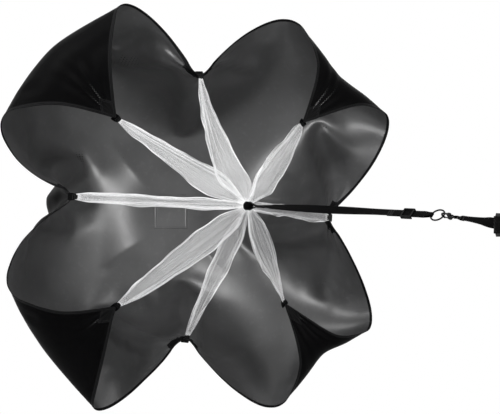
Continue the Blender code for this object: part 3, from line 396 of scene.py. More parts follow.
def webbingFinish(name, tone, worn):
    # Woven polyester strap. Its raised ribs catch the light and wear to grey.
    made = Finish(name)
    weave = made.group(herringboneGroup, Place=made.uv)
    soil = made.group(soilingGroup, Place=made.place)
    raised = made.w.math("MULTIPLY", weave.outputs["Rib"], 0.5)
    share = made.w.math("ADD", raised, made.w.math("MULTIPLY", soil.outputs["Dust"], 0.5))
    colour = made.w.blend(share, tone, worn)
    gloss = made.w.math("SUBTRACT", 0.68, made.w.math("MULTIPLY", weave.outputs["Rib"], 0.14))
    made.set(Base_Color=colour, Roughness=gloss, Specular_IOR_Level=0.025,
             Normal=made.bump(weave.outputs["Height"], 0.00022, 0.8))
    return made


def netFinish(name, cover):
    # White knitted net, clear between its threads. cover is 1 for net so bunched that nothing shows through.
    # The piece's attributes close it at the selvedges and thin its threads, which greys some strips as
    # painted shade.
    made = Finish(name)
    weave = made.group(nettingGroup, Place=made.uv)
    soil = made.group(soilingGroup, Place=made.place)
    dusty = made.w.math("MULTIPLY", soil.outputs["Dust"], 0.5)
    colour = made.w.blend(dusty, (0.90, 0.90, 0.905), (0.70, 0.69, 0.68))
    made.set(Base_Color=colour, Roughness=0.62, Specular_IOR_Level=0.25,
             Normal=made.bump(weave.outputs["Height"], 0.00018, 0.6))
    if cover < 1:
        hem = made.attribute("selvedge")
        # Threads thinned by a strip's cover are painted shade.
        thread = made.w.math("MULTIPLY", weave.outputs["Mask"], made.attribute("threadCoverPaintedShade"))
        made.set(Alpha=made.w.math("MAXIMUM", made.w.math("MAXIMUM", thread, hem), cover))
    made.set(Sheen_Weight=0.05, Sheen_Roughness=0.4)
    return made


def metalFinish(name, tone, gloss, grain):
    # Black-plated metal with fine handling scratches and duller cloudy patches.
    made = Finish(name)
    soil = made.group(soilingGroup, Place=made.place)
    stretched = made.w.add("ShaderNodeMapping", None, Vector=made.place)
    stretched.inputs["Scale"].default_value = (1, 9, 1)
    scratch = made.w.noise(stretched.outputs[0], grain, 4.0, 0.7)
    colour = made.w.blend(soil.outputs["Speck"], tone, lighter(tone, 1.9))
    rough = made.w.math("ADD", gloss, made.w.math("MULTIPLY", soil.outputs["Dust"], 0.14))
    made.set(Base_Color=colour, Metallic=1.0, Roughness=rough, Normal=made.bump(scratch, 0.00008, 0.5))
    return made


def plasticFinish(name, tone):
    # Moulded nylon: fine matt texture, shinier and greyer where it is rubbed.
    made = Finish(name)
    soil = made.group(soilingGroup, Place=made.place)
    grain = made.w.noise(made.place, 1400.0, 2.0, 0.6)
    colour = made.w.blend(soil.outputs["Dust"], tone, lighter(tone, 2.6))
    rough = made.w.math("SUBTRACT", 0.5, made.w.math("MULTIPLY", soil.outputs["Speck"], 0.14))
    made.set(Base_Color=colour, Roughness=rough, Specular_IOR_Level=0.07,
             Normal=made.bump(grain, 0.00007, 0.5))
    return made


def spacerFinish(name, tone):
    # Padded spacer cloth: small round cells in rows, each sunk in its middle and painted darker there as
    # painted shade.
    made = Finish(name)
    cells = made.w.add("ShaderNodeTexVoronoi", None, Vector=made.uv, Scale=420.0, Randomness=0.15)
    hollowAndPaintedShade = made.w.ramp(cells.outputs["Distance"], 0.12, 0.42)
    soil = made.group(soilingGroup, Place=made.place)
    dusty = made.w.math("MULTIPLY", soil.outputs["Dust"], 0.3)
    # Painted shade: each cell's hollow is darker.
    share = made.w.math("ADD", made.w.math("MULTIPLY", hollowAndPaintedShade, 0.6), dusty)
    colour = made.w.blend(share, tone, lighter(tone, 3.0))
    made.set(Base_Color=colour, Roughness=0.85, Specular_IOR_Level=0.2, Normal=made.bump(hollowAndPaintedShade, 0.0004, 0.8))
    made.set(Sheen_Weight=0.03, Sheen_Roughness=0.5)
    return made


def threadFinish(name, tone):
    # Twisted sewing thread.
    made = Finish(name)
    twist = made.w.noise(made.place, 900.0, 2.0, 0.5)
    colour = made.w.blend(twist, tone, lighter(tone, 1.7))
    made.set(Base_Color=colour, Roughness=0.5, Specular_IOR_Level=0.4, Normal=made.bump(twist, 0.0002, 0.5))
    return made


nylon = nylonFinish("canopyNylon", (0.0009, 0.0009, 0.0010), 0.975, 0.46, 0.02, 0.5).material
# The two inside finishes paint the black cloth grey: painted light for what shines through and off the
# canopy's inside.
insideNylonPaintedLight = nylonFinish("canopyInsidePaintedLight", (0.048, 0.048, 0.0489), 0.82, 0.30, 0.80, 0.05).material
doubledInsidePaintedLight = nylonFinish("doubledInsidePaintedLight", (0.050, 0.050, 0.0509), 1.0, 0.33, 0.70, 0.06).material
doubledNylon = doubledFinish("doubledNylon").material
webbing = webbingFinish("blackWebbing", (0.0008, 0.0008, 0.0009), (0.0034, 0.0034, 0.0036)).material
net = netFinish("stripNet", 0.05).material
bunchedNet = netFinish("bunchedNet", 1.0).material
steel = metalFinish("darkSteel", (0.007, 0.007, 0.0075), 0.30, 700.0).material
alloy = metalFinish("darkAlloy", (0.012, 0.012, 0.0125), 0.32, 1100.0).material
plastic = plasticFinish("mouldedPlastic", (0.0035, 0.0035, 0.0037)).material
spacer = spacerFinish("spacerCloth", (0.0045, 0.0045, 0.0048)).material
blackThread = threadFinish("blackThread", (0.008, 0.008, 0.0085)).material
print("materials made")


# Mesh helpers
def makeMesh(name, points, faces, uv=None, finish=None, attributes=None):
    # uv holds one pair for each point. faces is an array of quads, or a list.
    mesh = bpy.data.meshes.new(name)
    mesh.from_pydata(np.asarray(points, float).tolist(), [], [tuple(map(int, f)) for f in faces])
    mesh.update()
    if uv is not None:
        layer = mesh.uv_layers.new(name="cloth")
        corner = np.empty(len(mesh.loops), np.int32)
        mesh.loops.foreach_get("vertex_index", corner)
        layer.data.foreach_set("uv", np.asarray(uv, np.float32)[corner].ravel())
    for key, values in (attributes or {}).items():
        held = mesh.attributes.new(key, "FLOAT", "POINT")
        held.data.foreach_set("value", np.asarray(values, np.float32).ravel())
    mesh.shade_smooth()
    made = bpy.data.objects.new(name, mesh)
    bpy.context.scene.collection.objects.link(made)
    if finish is not None:
        mesh.materials.append(finish)
    return made


def gridFaces(rows, columns, closedRows=False, closedColumns=False):
    # Quads over a grid of rows by columns, which may close on themselves. Point (i, j) has the
    # number i times the columns, plus j.
    i = np.arange(rows if closedRows else rows - 1)
    j = np.arange(columns if closedColumns else columns - 1)
    i, j = (part.ravel() for part in np.meshgrid(i, j, indexing="ij"))
    k, m = (i + 1) % rows, (j + 1) % columns
    return np.stack([i * columns + j, i * columns + m, k * columns + m, k * columns + j], -1)


def placed(matrix, points):
    # Points taken from a frame's own coordinates to the shared ones.
    held = np.array(matrix)
    return np.asarray(points) @ held[:3, :3].T + held[:3, 3]


def outward(points, faces):
    # The faces as they are, or all turned over where the volume they enclose comes out negative:
    # the sum, over their triangles, of each one's area direction on its first corner.
    total = 0.0
    for face in faces:
        p = points[np.asarray(face)]
        total += np.sum(np.cross(p[1:-1] - p[0], p[2:] - p[0]) @ p[0])
    return faces if total > 0 else [tuple(reversed(tuple(face))) for face in faces]


def loft(name, rings, finish, uv=None, closed=False, sharpDegrees=None, matrix=None, attributes=None):
    # A closed surface through rings of as many points each, capped at its ends unless the last
    # ring meets the first.
    rings = np.asarray(rings, float)
    rows, columns = rings.shape[:2]
    faces = [tuple(f) for f in gridFaces(rows, columns, closedRows=closed, closedColumns=True)]
    if not closed:
        faces.append(tuple(range(columns)))
        faces.append(tuple(range(rows * columns - 1, (rows - 1) * columns - 1, -1)))
    points = rings.reshape(-1, 3)
    if matrix is not None:
        points = placed(matrix, points)
    faces = outward(points, faces)
    held = None if uv is None else np.asarray(uv, float).reshape(-1, 2)
    made = makeMesh(name, points, faces, held, finish, attributes)
    if sharpDegrees:
        made.data.set_sharp_from_angle(angle=math.radians(sharpDegrees))
    return made


def joined(name, parts):
    # One object from several, which are then gone.
    points, faces, uvs, finishes, indices, count = [], [], [], [], [], 0
    for part in parts:
        mesh = part.data
        for finish in mesh.materials:
            if finish not in finishes:
                finishes.append(finish)
        where = np.empty(len(mesh.vertices) * 3)
        mesh.vertices.foreach_get("co", where)
        points.append(where.reshape(-1, 3))
        held = np.zeros((len(mesh.vertices), 2))
        if mesh.uv_layers:
            corner = np.empty(len(mesh.loops), np.int32)
            mesh.loops.foreach_get("vertex_index", corner)
            pairs = np.empty(len(mesh.loops) * 2)
            mesh.uv_layers[0].data.foreach_get("uv", pairs)
            held[corner] = pairs.reshape(-1, 2)
        uvs.append(held)
        faces += [tuple(j + count for j in face.vertices) for face in mesh.polygons]
        indices += [finishes.index(mesh.materials[0])] * len(mesh.polygons)
        count += len(mesh.vertices)
    made = makeMesh(name, np.concatenate(points), faces, np.concatenate(uvs))
    for finish in finishes:
        made.data.materials.append(finish)
    made.data.polygons.foreach_set("material_index", np.array(indices, np.int32))
    made.data.set_sharp_from_angle(angle=math.radians(38))
    for part in parts:
        old = part.data
        bpy.data.objects.remove(part, do_unlink=True)
        bpy.data.meshes.remove(old)
    return made


def spline(points, step):
    # Points about a step apart on a smooth curve through the given ones. Its knots lie as far
    # apart as the square roots of the chords, and each stretch blends the lines between four knots.
    p = np.asarray(points, float)
    wide = np.concatenate([2 * p[:1] - p[1:2], p, 2 * p[-1:] - p[-2:-1]])
    found = []
    for i in range(len(p) - 1):
        a, b, c, d = wide[i:i + 4]
        knots = [0.0]
        for first, second in ((a, b), (b, c), (c, d)):
            knots.append(knots[-1] + math.sqrt(max(np.linalg.norm(second - first), 1e-9)))
        count = max(1, int(math.ceil(np.linalg.norm(c - b) / step)))
        t = np.linspace(knots[1], knots[2], count, endpoint=False)[:, None]
        k0, k1, k2, k3 = knots
        ab = (k1 - t) / (k1 - k0) * a + (t - k0) / (k1 - k0) * b
        bc = (k2 - t) / (k2 - k1) * b + (t - k1) / (k2 - k1) * c
        cd = (k3 - t) / (k3 - k2) * c + (t - k2) / (k3 - k2) * d
        abc = (k2 - t) / (k2 - k0) * ab + (t - k0) / (k2 - k0) * bc
        bcd = (k3 - t) / (k3 - k1) * bc + (t - k1) / (k3 - k1) * cd
        found.append((k2 - t) / (k2 - k1) * abc + (t - k1) / (k2 - k1) * bcd)
    found.append(p[-1:])
    return np.concatenate(found)


# Across the webbing and through it, as shares of half its width and half its thickness
webbingSection = np.array([(-1, 0.3), (-0.985, 0.7), (-0.93, 1.0), (-0.8, 1.05), (-0.6, 0.92),
                           (-0.3, 1.0), (0, 1.03), (0.3, 1.0), (0.6, 0.92), (0.8, 1.05),
                           (0.93, 1.0), (0.985, 0.7), (1, 0.3)])


def ribbon(name, middles, wides, normals, widths, thick, finish, matrix=None):
    # Webbing along middles, with a rounded edge and a selvedge on each side: its section is laid
    # out along wides and normals at every middle.
    section = np.concatenate([webbingSection, webbingSection[::-1] * (1, -1)])
    widths = np.broadcast_to(widths, (len(middles),))
    run = np.concatenate([[0], np.cumsum(np.linalg.norm(np.diff(middles, axis=0), axis=1))])
    rings = (middles[:, None] + wides[:, None] * (section[:, 0] * widths[:, None] / 2)[..., None]
             + normals[:, None] * (section[:, 1] * thick / 2)[None, :, None])
    uv = np.stack([section[:, 0] * widths[:, None] / 2, run[:, None] + 0 * section[:, 0]], -1)
    return loft(name, rings, finish, uv, sharpDegrees=60, matrix=matrix)


def wireRing(name, path, radius, flat, finish, sides=16, matrix=None):
    # Round wire bent into a closed ring that lies square to the direction flat: a circle round
    # each point of the path, between flat and the side.
    path = np.asarray(path, float)
    ahead = unit(np.roll(path, -1, axis=0) - np.roll(path, 1, axis=0))
    flat = np.asarray(flat, float)
    side = np.cross(ahead, flat)
    turn = 2 * np.pi * np.arange(sides) / sides
    rings = path[:, None] + radius * (side[:, None] * np.cos(turn)[:, None] + flat * np.sin(turn)[:, None])
    return loft(name, rings, finish, closed=True, matrix=matrix)


def lathe(name, profile, start, along, finish, sides=32, matrix=None):
    # A turned piece. The profile is (way along, radius), with a closed end at each side.
    start, along = np.asarray(start, float), unit(np.asarray(along, float))
    side = unit(np.cross(along, (0.0, 0.3, 1.0)))
    other = np.cross(along, side)
    turn = 2 * np.pi * np.arange(sides) / sides
    ring = side * np.cos(turn)[:, None] + other * np.sin(turn)[:, None]
    rings = [start + along * way + ring * max(radius, 0.00002) for way, radius in profile]
    return loft(name, rings, finish, sharpDegrees=38, matrix=matrix)


def roundedOutline(halfLong, halfWide, corner, steps=8):
    # Points of a rounded rectangle in a plane: a quarter circle at each corner.
    found = []
    for turn in range(4):
        a = halfLong - corner if turn in (0, 3) else corner - halfLong
        b = halfWide - corner if turn in (0, 1) else corner - halfWide
        for step in range(steps + 1):
            lean = math.radians(90 * turn + 90 * step / steps)
            found.append((a + corner * math.cos(lean), b + corner * math.sin(lean)))
    return np.array(found)


def slab(name, halfLong, halfWide, corner, low, high, edge, finish, centre=(0, 0), axis="z", matrix=None):
    # A plate with a rounded outline, from low to high along its axis. Its edges are rounded by
    # drawing the outline in as a quarter circle does.
    rings = []
    for lean in np.radians([0, 22.5, 45, 67.5, 90]):
        inset = edge * (1 - math.sin(lean))
        rings.append((low + edge * (1 - math.cos(lean)), inset))
    rings += [(low + high - level, inset) for level, inset in reversed(rings)]
    found = []
    for level, inset in rings:
        outline = roundedOutline(halfLong - inset, halfWide - inset, max(corner - inset, 0.0003)) + centre
        flat = np.full(len(outline), level)
        found.append(np.stack([outline[:, 0], outline[:, 1], flat] if axis == "z"
                              else [outline[:, 0], flat, outline[:, 1]], -1))
    return loft(name, found, finish, sharpDegrees=38, matrix=matrix)


def stitches(name, centres, alongs, normals, length, radius, finish, body):
    # Thread showing on a surface: a small six-sided spindle for every stitch.
    centres, alongs, normals = (np.asarray(part, float) for part in (centres, alongs, normals))
    alongs, normals = unit(alongs), unit(normals)
    sides = np.cross(alongs, normals)
    ways = np.array([-0.5, -0.3, 0.3, 0.5]) * length
    fat = np.array([0.25, 1.0, 1.0, 0.25]) * radius
    turn = 2 * np.pi * np.arange(6) / 6
    ring = sides[:, None] * np.cos(turn)[:, None] + normals[:, None] * np.sin(turn)[:, None]
    points = (centres[:, None, None] + alongs[:, None, None] * ways[:, None, None]
              + ring[:, None] * fat[:, None, None])
    faces = [tuple(f) for f in gridFaces(4, 6, closedColumns=True)]
    faces += [tuple(range(6)), tuple(range(23, 17, -1))]
    faces = outward(points[0].reshape(-1, 3), faces)
    every = []
    for i in range(len(centres)):
        every += [tuple(24 * i + j for j in face) for face in faces]
    made = makeMesh(name, points.reshape(-1, 3), every, None, finish)
    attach(made, body)
    return made


# The canopy's cloth
cloth = {"coarse": 49, "steps": 620, "drawSteps": 200, "passes": 12, "framesEachSecond": 120,
         "airPush": 6.84, "speedKept": 0.97, "slantHold": 0.5, "bendHold": 0.08, "drawnIn": 0.8, "dish": 0.3,
         "wobble": 0.0017, "stillRing": 0.3, "crownFlat": (0.085, 0.30), "columns": 207, "crowding": 0.5,
         "thick": 0.0004, "pleatHeight": 0.0026, "pleatCount": 17, "pleatIn": (0.008, 0.058),
         "pleatOut": (0.07, 0.26)}
# Where the breeze moves the rim, in x and z: at three shares of each stretch from anchor to anchor
rimShares = (0.25, 0.50, 0.75)
rimShifts = (((0.005, 0.015), (0.010, 0.026), (0.013, 0.054)),
             ((0.049, 0.000), (0.021, -0.007), (0.013, 0.001)),
             ((-0.008, 0.002), (0.000, 0.000), (-0.020, 0.003)),
             ((0.009, 0.028), (0.021, 0.008), (0.000, -0.001)),
             ((0.003, -0.020), (0.044, -0.037), (0.020, -0.041)),
             ((-0.004, -0.002), (-0.003, -0.008), (-0.013, 0.002)),
             ((0.031, 0.002), (0.056, 0.005), (0.068, -0.003)),
             ((-0.009, -0.076), (-0.014, -0.054), (-0.008, -0.032)))
# How far each lobe's belly swells outwards, and where on the cloth
swellShares = ((0.70, 0.0), (0.76, 0.76), (0.0, 0.70), (-0.70, 0.76), (-0.66, 0.0),
               (-0.68, -0.74), (0.0, -0.70), (0.78, -0.74))
swells = (0.030, 0.015, 0.020, 0.052, 0.079, 0.026, 0.030, 0.018)


def relax(points, spacing, pins):
    # Cloth on a square grid: pressure pushes along the area normal, then every spacing is
    # put back to its flat length, one disjoint set of pairs after another.
    side = points.shape[0]
    free = np.ones((side, side))
    for pin in pins:
        free[pin] = 0
    starts = [points[pin].copy() for pin in pins]
    sets = []
    whole = slice(None)
    for part in (0, 1):
        near, far = slice(part, side - 1, 2), slice(part + 1, side, 2)
        sets += [((near, whole), (far, whole), spacing, 1.0),
                 ((whole, near), (whole, far), spacing, 1.0)]
    for part in (0, 1):
        near, far = slice(part, side - 1, 2), slice(part + 1, side, 2)
        low, high = slice(0, side - 1), slice(1, side)
        slant = spacing * math.sqrt(2)
        sets += [((near, low), (far, high), slant, cloth["slantHold"]),
                 ((near, high), (far, low), slant, cloth["slantHold"])]
    for part in range(4):
        near, far = slice(part, side - 2, 4), slice(part + 2, side, 4)
        sets += [((near, whole), (far, whole), 2 * spacing, cloth["bendHold"]),
                 ((whole, near), (whole, far), 2 * spacing, cloth["bendHold"])]
    shares = []
    for near, far, length, stiff in sets:
        both = np.maximum(free[near] + free[far], 1)
        shares.append((stiff * free[near] / both, stiff * free[far] / both))
    pace = 1 / cloth["framesEachSecond"]
    speed = np.zeros_like(points)
    middle = side // 2
    for step in range(cloth["steps"]):
        share = min(1.0, step / cloth["drawSteps"])
        for pin, start, goal in zip(pins, starts, anchors):
            points[pin] = start + (goal - start) * share
        down, over = np.gradient(points, axis=0), np.gradient(points, axis=1)
        push = np.cross(over, down) / spacing**2
        push *= np.sign(push[middle, middle, 1])
        speed = (speed + cloth["airPush"] * push * pace) * cloth["speedKept"] * free[..., None]
        before = points.copy()
        points = points + speed * pace
        for turn in range(cloth["passes"]):
            for (near, far, length, stiff), (first, second) in zip(sets, shares):
                gap = points[far] - points[near]
                size = np.sqrt((gap * gap).sum(-1)) + 1e-12
                gap *= ((size - length) / size)[..., None]
                points[near] += first[..., None] * gap
                points[far] -= second[..., None] * gap
        speed = (points - before) / pace
    return points


def doubled(points):
    # The grid with a point between each two, on a cubic through their neighbours.
    for axis in (0, 1):
        held = np.moveaxis(points, axis, 0)
        wide = np.concatenate([held[:1] * 2 - held[1:2], held, held[-1:] * 2 - held[-2:-1]])
        between = (9 * (wide[1:-2] + wide[2:-1]) - wide[:-3] - wide[3:]) / 16
        woven = np.empty((2 * held.shape[0] - 1, *held.shape[1:]))
        woven[::2], woven[1::2] = held, between
        points = np.moveaxis(woven, 0, axis)
    return points


def plate(ends, starts):
    # How a thin plate bends round each start: the distance squared times its logarithm.
    gap = ((ends[:, None] - starts[None]) ** 2).sum(-1)
    return 0.5 * gap * np.log(gap + 1e-12)


def breeze(places):
    # How far the breeze moves each place on the cloth, in x and z: the smoothest field that
    # moves the rim and the places behind the anchors as the tables say.
    ring = np.radians(45 * np.arange(8))
    sites = [(0.0, 0.0), *corners] + list(cloth["stillRing"] * np.stack([np.cos(ring), np.sin(ring)], -1))
    moves = [(0.0, 0.0)] * len(sites)
    for i in range(8):
        start, end = np.array(corners[i], float), np.array(corners[(i + 1) % 8], float)
        for share, move in zip(rimShares, rimShifts[i]):
            sites.append(start + (end - start) * share)
            moves.append(move)
        sites.append(swellShares[i])
        moves.append((swells[i] * math.cos(ring[i]), swells[i] * math.sin(ring[i])))
    sites, moves = np.array(sites, float), np.array(moves, float)
    count = len(sites)
    system = np.zeros((count + 3, count + 3))
    system[:count, :count] = plate(sites, sites)
    system[:count, count:] = np.column_stack([np.ones(count), sites])
    system[count:, :count] = system[:count, count:].T
    weights = np.linalg.solve(system, np.concatenate([moves, np.zeros((3, 2))]))
    level = np.column_stack([np.ones(len(places)), places])
    return plate(places, sites) @ weights[:count] + level @ weights[count:]


def formCloth():
    # The net is drawn in to its anchors and blown, woven twice as fine, moved by the breeze, brought
    # to the crown's depth, and flattened where the crown patch lies.
    side = cloth["coarse"]
    middle = side // 2
    line = np.linspace(-halfSide, halfSide, side)
    x, z = np.meshgrid(line, line, indexing="ij")
    rim = np.maximum(abs(x), abs(z)) / halfSide
    start = np.stack([x * cloth["drawnIn"], mouthY + cloth["dish"] * (1 - rim**2), z * cloth["drawnIn"]], -1)
    start += np.random.default_rng(4).normal(0, cloth["wobble"], start.shape)
    pins = [(middle + u * middle, middle + v * middle) for u, v in corners]
    found = doubled(relax(start, line[1] - line[0], pins))
    line = np.linspace(-1, 1, found.shape[0])
    u, v = np.meshgrid(line, line, indexing="ij")
    found[..., ::2] += breeze(np.stack([u, v], -1).reshape(-1, 2)).reshape(*u.shape, 2)
    rim = np.maximum(abs(u), abs(v))
    middle = found.shape[0] // 2
    deeper = (crownY - mouthY) / (found[middle, middle, 1] - mouthY) - 1
    found[..., 1] += (found[..., 1] - mouthY) * deeper * (1 - rim**4)
    low, high = cloth["crownFlat"]
    level = (1 - smooth((rim - low) / (high - low)))[..., None]
    return found + (np.stack([u * halfSide, np.full_like(u, crownY), v * halfSide], -1) - found) * level


formed = formCloth()
# The form with one more row of points past each edge, carried on straight, for cubic steps
edged = np.concatenate([2 * formed[:1] - formed[1:2], formed, 2 * formed[-1:] - formed[-2:-1]])
edged = np.concatenate([2 * edged[:, :1] - edged[:, 1:2], edged, 2 * edged[:, -1:] - edged[:, -2:-1]], 1)
print("canopy blown")


def cubic(share):
    # Weights of four points in a row for a place between the middle two.
    f = share
    return (-0.5 * f + f**2 - 0.5 * f**3, 1 - 2.5 * f**2 + 1.5 * f**3,
            0.5 * f + 2 * f**2 - 1.5 * f**3, -0.5 * f**2 + 0.5 * f**3)


def clothAt(u, v):
    # The cloth's place at (u, v), which run from -1 to 1, with nothing sewn on it.
    last = formed.shape[0] - 1
    i, j = (u + 1) / 2 * last, (v + 1) / 2 * last
    lowI, lowJ = (np.clip(np.floor(part), 0, last - 1).astype(int) for part in (i, j))
    found = 0
    for a, first in enumerate(cubic(i - lowI)):
        for b, second in enumerate(cubic(j - lowJ)):
            found = found + (first * second)[..., None] * edged[lowI + a, lowJ + b]
    return found


def clothNormal(u, v, step=0.004):
    # Square to the two lines that join the places a step to each side.
    across = clothAt(u + step, v) - clothAt(u - step, v)
    along = clothAt(u, v + step) - clothAt(u, v - step)
    return unit(np.cross(along, across))


def pleats(u, v):
    # Fan pleats: waves round each anchor that fade in near it and out again.
    height = np.zeros(np.shape(u))
    for i, (cornerU, cornerV) in enumerate(corners):
        x, z = (u - cornerU) * halfSide, (v - cornerV) * halfSide
        r, turn = np.hypot(x, z), np.arctan2(z, x)
        fadeIn, fadeOut = (smooth((r - low) / (high - low))
                           for low, high in (cloth["pleatIn"], cloth["pleatOut"]))
        phase = cloth["pleatCount"] * turn + 1.4 * np.sin(3 * turn + i) + 0.9 * np.sin(26 * r + 2.3 * i)
        uneven = 0.65 + 0.35 * np.sin(5 * turn + 1.7 * i)
        height += cloth["pleatHeight"] * fadeIn * (1 - fadeOut) * uneven * np.sin(phase)
    return height


def surfaceAt(u, v, lift=0.0):
    # The finished cloth, lifted along its outward normal.
    u, v = np.broadcast_arrays(np.asarray(u, float), np.asarray(v, float))
    return clothAt(u, v) + clothNormal(u, v) * (pleats(u, v) + lift)[..., None]


def shellFaces(side):
    # The faces of two square grids of points, back to back, and the wall round their edge.
    upper = gridFaces(side, side)
    count = side * side
    index = np.arange(count).reshape(side, side)
    edge = np.concatenate([index[0], index[1:, -1], index[-1, -2::-1], index[-2:0:-1, 0]])
    after = np.roll(edge, -1)
    return upper, upper[:, ::-1] + count, np.stack([after, edge, count + edge, count + after], -1)


def lineInside(made, parts, finish):
    # Gives the inner faces of a shell a finish of their own.
    made.data.materials.append(finish)
    kinds = np.repeat((0, 1, 0), [len(part) for part in parts])
    made.data.polygons.foreach_set("material_index", kinds.astype(np.int32))


def makeCanopy():
    # One thin shell over the whole cloth, its grid closer at the rim and the middle.
    line = np.linspace(-1, 1, cloth["columns"])
    line = line - cloth["crowding"] * np.sin(2 * np.pi * line) / (2 * np.pi)
    u, v = np.meshgrid(line, line, indexing="ij")
    uv = np.stack([u, v], -1).reshape(-1, 2) * halfSide
    outer = surfaceAt(u, v, cloth["thick"] / 2).reshape(-1, 3)
    inner = surfaceAt(u, v, -cloth["thick"] / 2).reshape(-1, 3)
    parts = shellFaces(len(line))
    made = makeMesh("canopyCloth", np.concatenate([outer, inner]), np.concatenate(parts),
                    np.tile(uv, (2, 1)), nylon)
    lineInside(made, parts, insideNylonPaintedLight)
    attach(made, "canopy")
    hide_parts(*[f"canopy_gore_{k}" for k in range(1, 9)])
    return made


def edgeGaps(first, second, wide, high):
    # For points of a rectangle: the way to the nearest edge, and the way along it.
    gaps = np.stack([first, wide - first, second, high - second], -1)
    nearest = gaps.argmin(-1)
    return gaps.min(-1), np.where(nearest < 2, second, first)


def makeDoubler(name, lowU, highU, lowV, highV, thick, columns, innerFinish=None):
    # A second layer sewn flat on the cloth, both faces of it, rounded down at its edges.
    sewn = {"crowding": 0.8, "puckerPitch": 0.0062, "puckerReach": 0.012, "puckerHigh": 0.12,
            "rowTurns": 900, "rowHigh": 0.1, "edge": 0.0012, "groove": 0.0043, "grooveHalf": 0.0018,
            "grooveDeep": 0.35}
    share = np.linspace(0, 1, columns)
    share = share - sewn["crowding"] * np.sin(2 * np.pi * share) / (2 * np.pi)
    a, b = np.meshgrid(share, share, indexing="ij")
    wide, high = (highU - lowU) * halfSide, (highV - lowV) * halfSide
    gap, run = edgeGaps(a * wide, b * high, wide, high)
    puckers = sewn["puckerHigh"] * np.sin(run * 2 * np.pi / sewn["puckerPitch"]) * (gap < sewn["puckerReach"])
    puckers = puckers + sewn["rowHigh"] * np.sin(gap * sewn["rowTurns"])
    groove = np.exp(-((gap - sewn["groove"]) / sewn["grooveHalf"]) ** 2)
    lift = thick * (0.25 + 0.75 * smooth(gap / sewn["edge"])) * (1 - sewn["grooveDeep"] * groove)
    lift = lift * (1 + puckers * (gap > sewn["edge"] / 2))
    u, v = lowU + (highU - lowU) * a, lowV + (highV - lowV) * b
    top, bottom = surfaceAt(u, v, lift), surfaceAt(u, v, -lift)
    parts = shellFaces(columns)
    points = np.concatenate([top.reshape(-1, 3), bottom.reshape(-1, 3)])
    flat = np.stack([u, v], -1).reshape(-1, 2) * halfSide
    held = {"seamGap": np.tile(gap.ravel(), 2), "seamRun": np.tile(run.ravel(), 2)}
    made = makeMesh(name, points, np.concatenate(parts), np.tile(flat, (2, 1)), doubledNylon, held)
    if innerFinish:
        lineInside(made, parts, innerFinish)
    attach(made, "canopy")
    return made


def makeHem(k):
    # The rim's edge, turned over twice and sewn down, between two anchors.
    hem = {"wide": 0.0095, "thick": 0.0008, "stations": 190, "end": 0.006, "puckerPitch": 0.0071,
           "puckerHigh": 0.16}
    start, end = np.array(corners[k], float), np.array(corners[(k + 1) % 8], float)
    along = end - start
    side = np.array([along[1], -along[0]])
    inwards = side if side @ -(start + end) > 0 else -side
    low = hem["end"] / halfSide
    s = np.linspace(low, 1 - low, hem["stations"])
    # Inwards from the rim and up from the cloth, as shares of the hem's width and its thickness
    section = [(1.0, 0.35), (0.96, 0.8), (0.72, 0.95), (0.5, 0.7), (0.25, 1.0), (0.05, 1.1),
               (-0.04, 0.8), (-0.07, 0.3)]
    section = np.array(section + [(a, -b) for a, b in section[::-1]])
    middle = start + along * s[:, None]
    inward = np.clip(section[:, 0], 0.0, 1.0) * hem["wide"] / halfSide
    u = middle[:, None, 0] + inwards[0] * inward
    v = middle[:, None, 1] + inwards[1] * inward
    base = surfaceAt(u, v)
    inner = middle + inwards * 0.01
    away = unit(surfaceAt(middle[:, 0], middle[:, 1]) - surfaceAt(inner[:, 0], inner[:, 1]))
    pucker = 1 + hem["puckerHigh"] * np.sin(s * halfSide * 2 * np.pi / hem["puckerPitch"])[:, None]
    lift = hem["thick"] * section[:, 1] * pucker
    rings = base + clothNormal(u, v) * lift[..., None]
    rings = rings + away[:, None] * (np.clip(-section[:, 0], 0, 1) * hem["wide"])[None, :, None]
    run = s * halfSide
    gap = np.broadcast_to(np.maximum(section[:, 0], 0) * hem["wide"], (len(s), len(section)))
    held = {"seamGap": gap, "seamRun": np.broadcast_to(run[:, None], gap.shape)}
    uv = np.stack([gap, held["seamRun"]], -1)
    made = loft(f"hem_{k + 1}", rings, doubledNylon, uv, sharpDegrees=70, attributes=held)
    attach(made, "canopy")
    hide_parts(f"rim_binding_{k + 1}")
    return made


def makeCanopySewing():
    # The doubled patch on the crown, and a doubled patch behind each anchor.
    patch = {"half": 0.055, "thick": 0.0011, "columns": 61, "cornerSide": 0.046, "sideWide": 0.108,
             "sideDeep": 0.032, "reinforceThick": 0.0010, "reinforceColumns": 33}
    half = patch["half"] / halfSide
    crown = makeDoubler("crownPatch", -half, half, -half, half, patch["thick"], patch["columns"],
                        doubledInsidePaintedLight)
    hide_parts("crown_patch")
    sewn = [crown]
    for i, (u, v) in enumerate(corners):
        if u and v:
            wide = deep = patch["cornerSide"] / halfSide
            lowU, highU = sorted((u, u - u * wide))
            lowV, highV = sorted((v, v - v * deep))
        else:
            wide, deep = patch["sideWide"] / halfSide / 2, patch["sideDeep"] / halfSide
            lowU, highU = (-wide, wide) if u == 0 else sorted((u, u - u * deep))
            lowV, highV = (-wide, wide) if v == 0 else sorted((v, v - v * deep))
        sewn.append(makeDoubler(f"reinforcement_{anchorNames[i]}", lowU, highU, lowV, highV,
                                patch["reinforceThick"], patch["reinforceColumns"]))
    return sewn


canopy = makeCanopy()
hems = [makeHem(k) for k in range(8)]
doublers = makeCanopySewing()
print("canopy sewn")


# Anchor tabs and mesh strips
tab = {"length": 0.0221, "rear": 0.022, "front": 0.0125, "thick": 0.0015, "ply": 0.0016, "onCloth": 0.017,
       "turnOver": 0.0012, "tackRows": (0.0045, 0.0125, 0.0185), "tackPitch": 0.00085,
       "tackMargin": 0.0016, "tackLong": 0.0021, "tackRadius": 0.00028, "tackSlant": 0.25}
gatherReach = 0.0143    # from the gather's middle to the strips' ends


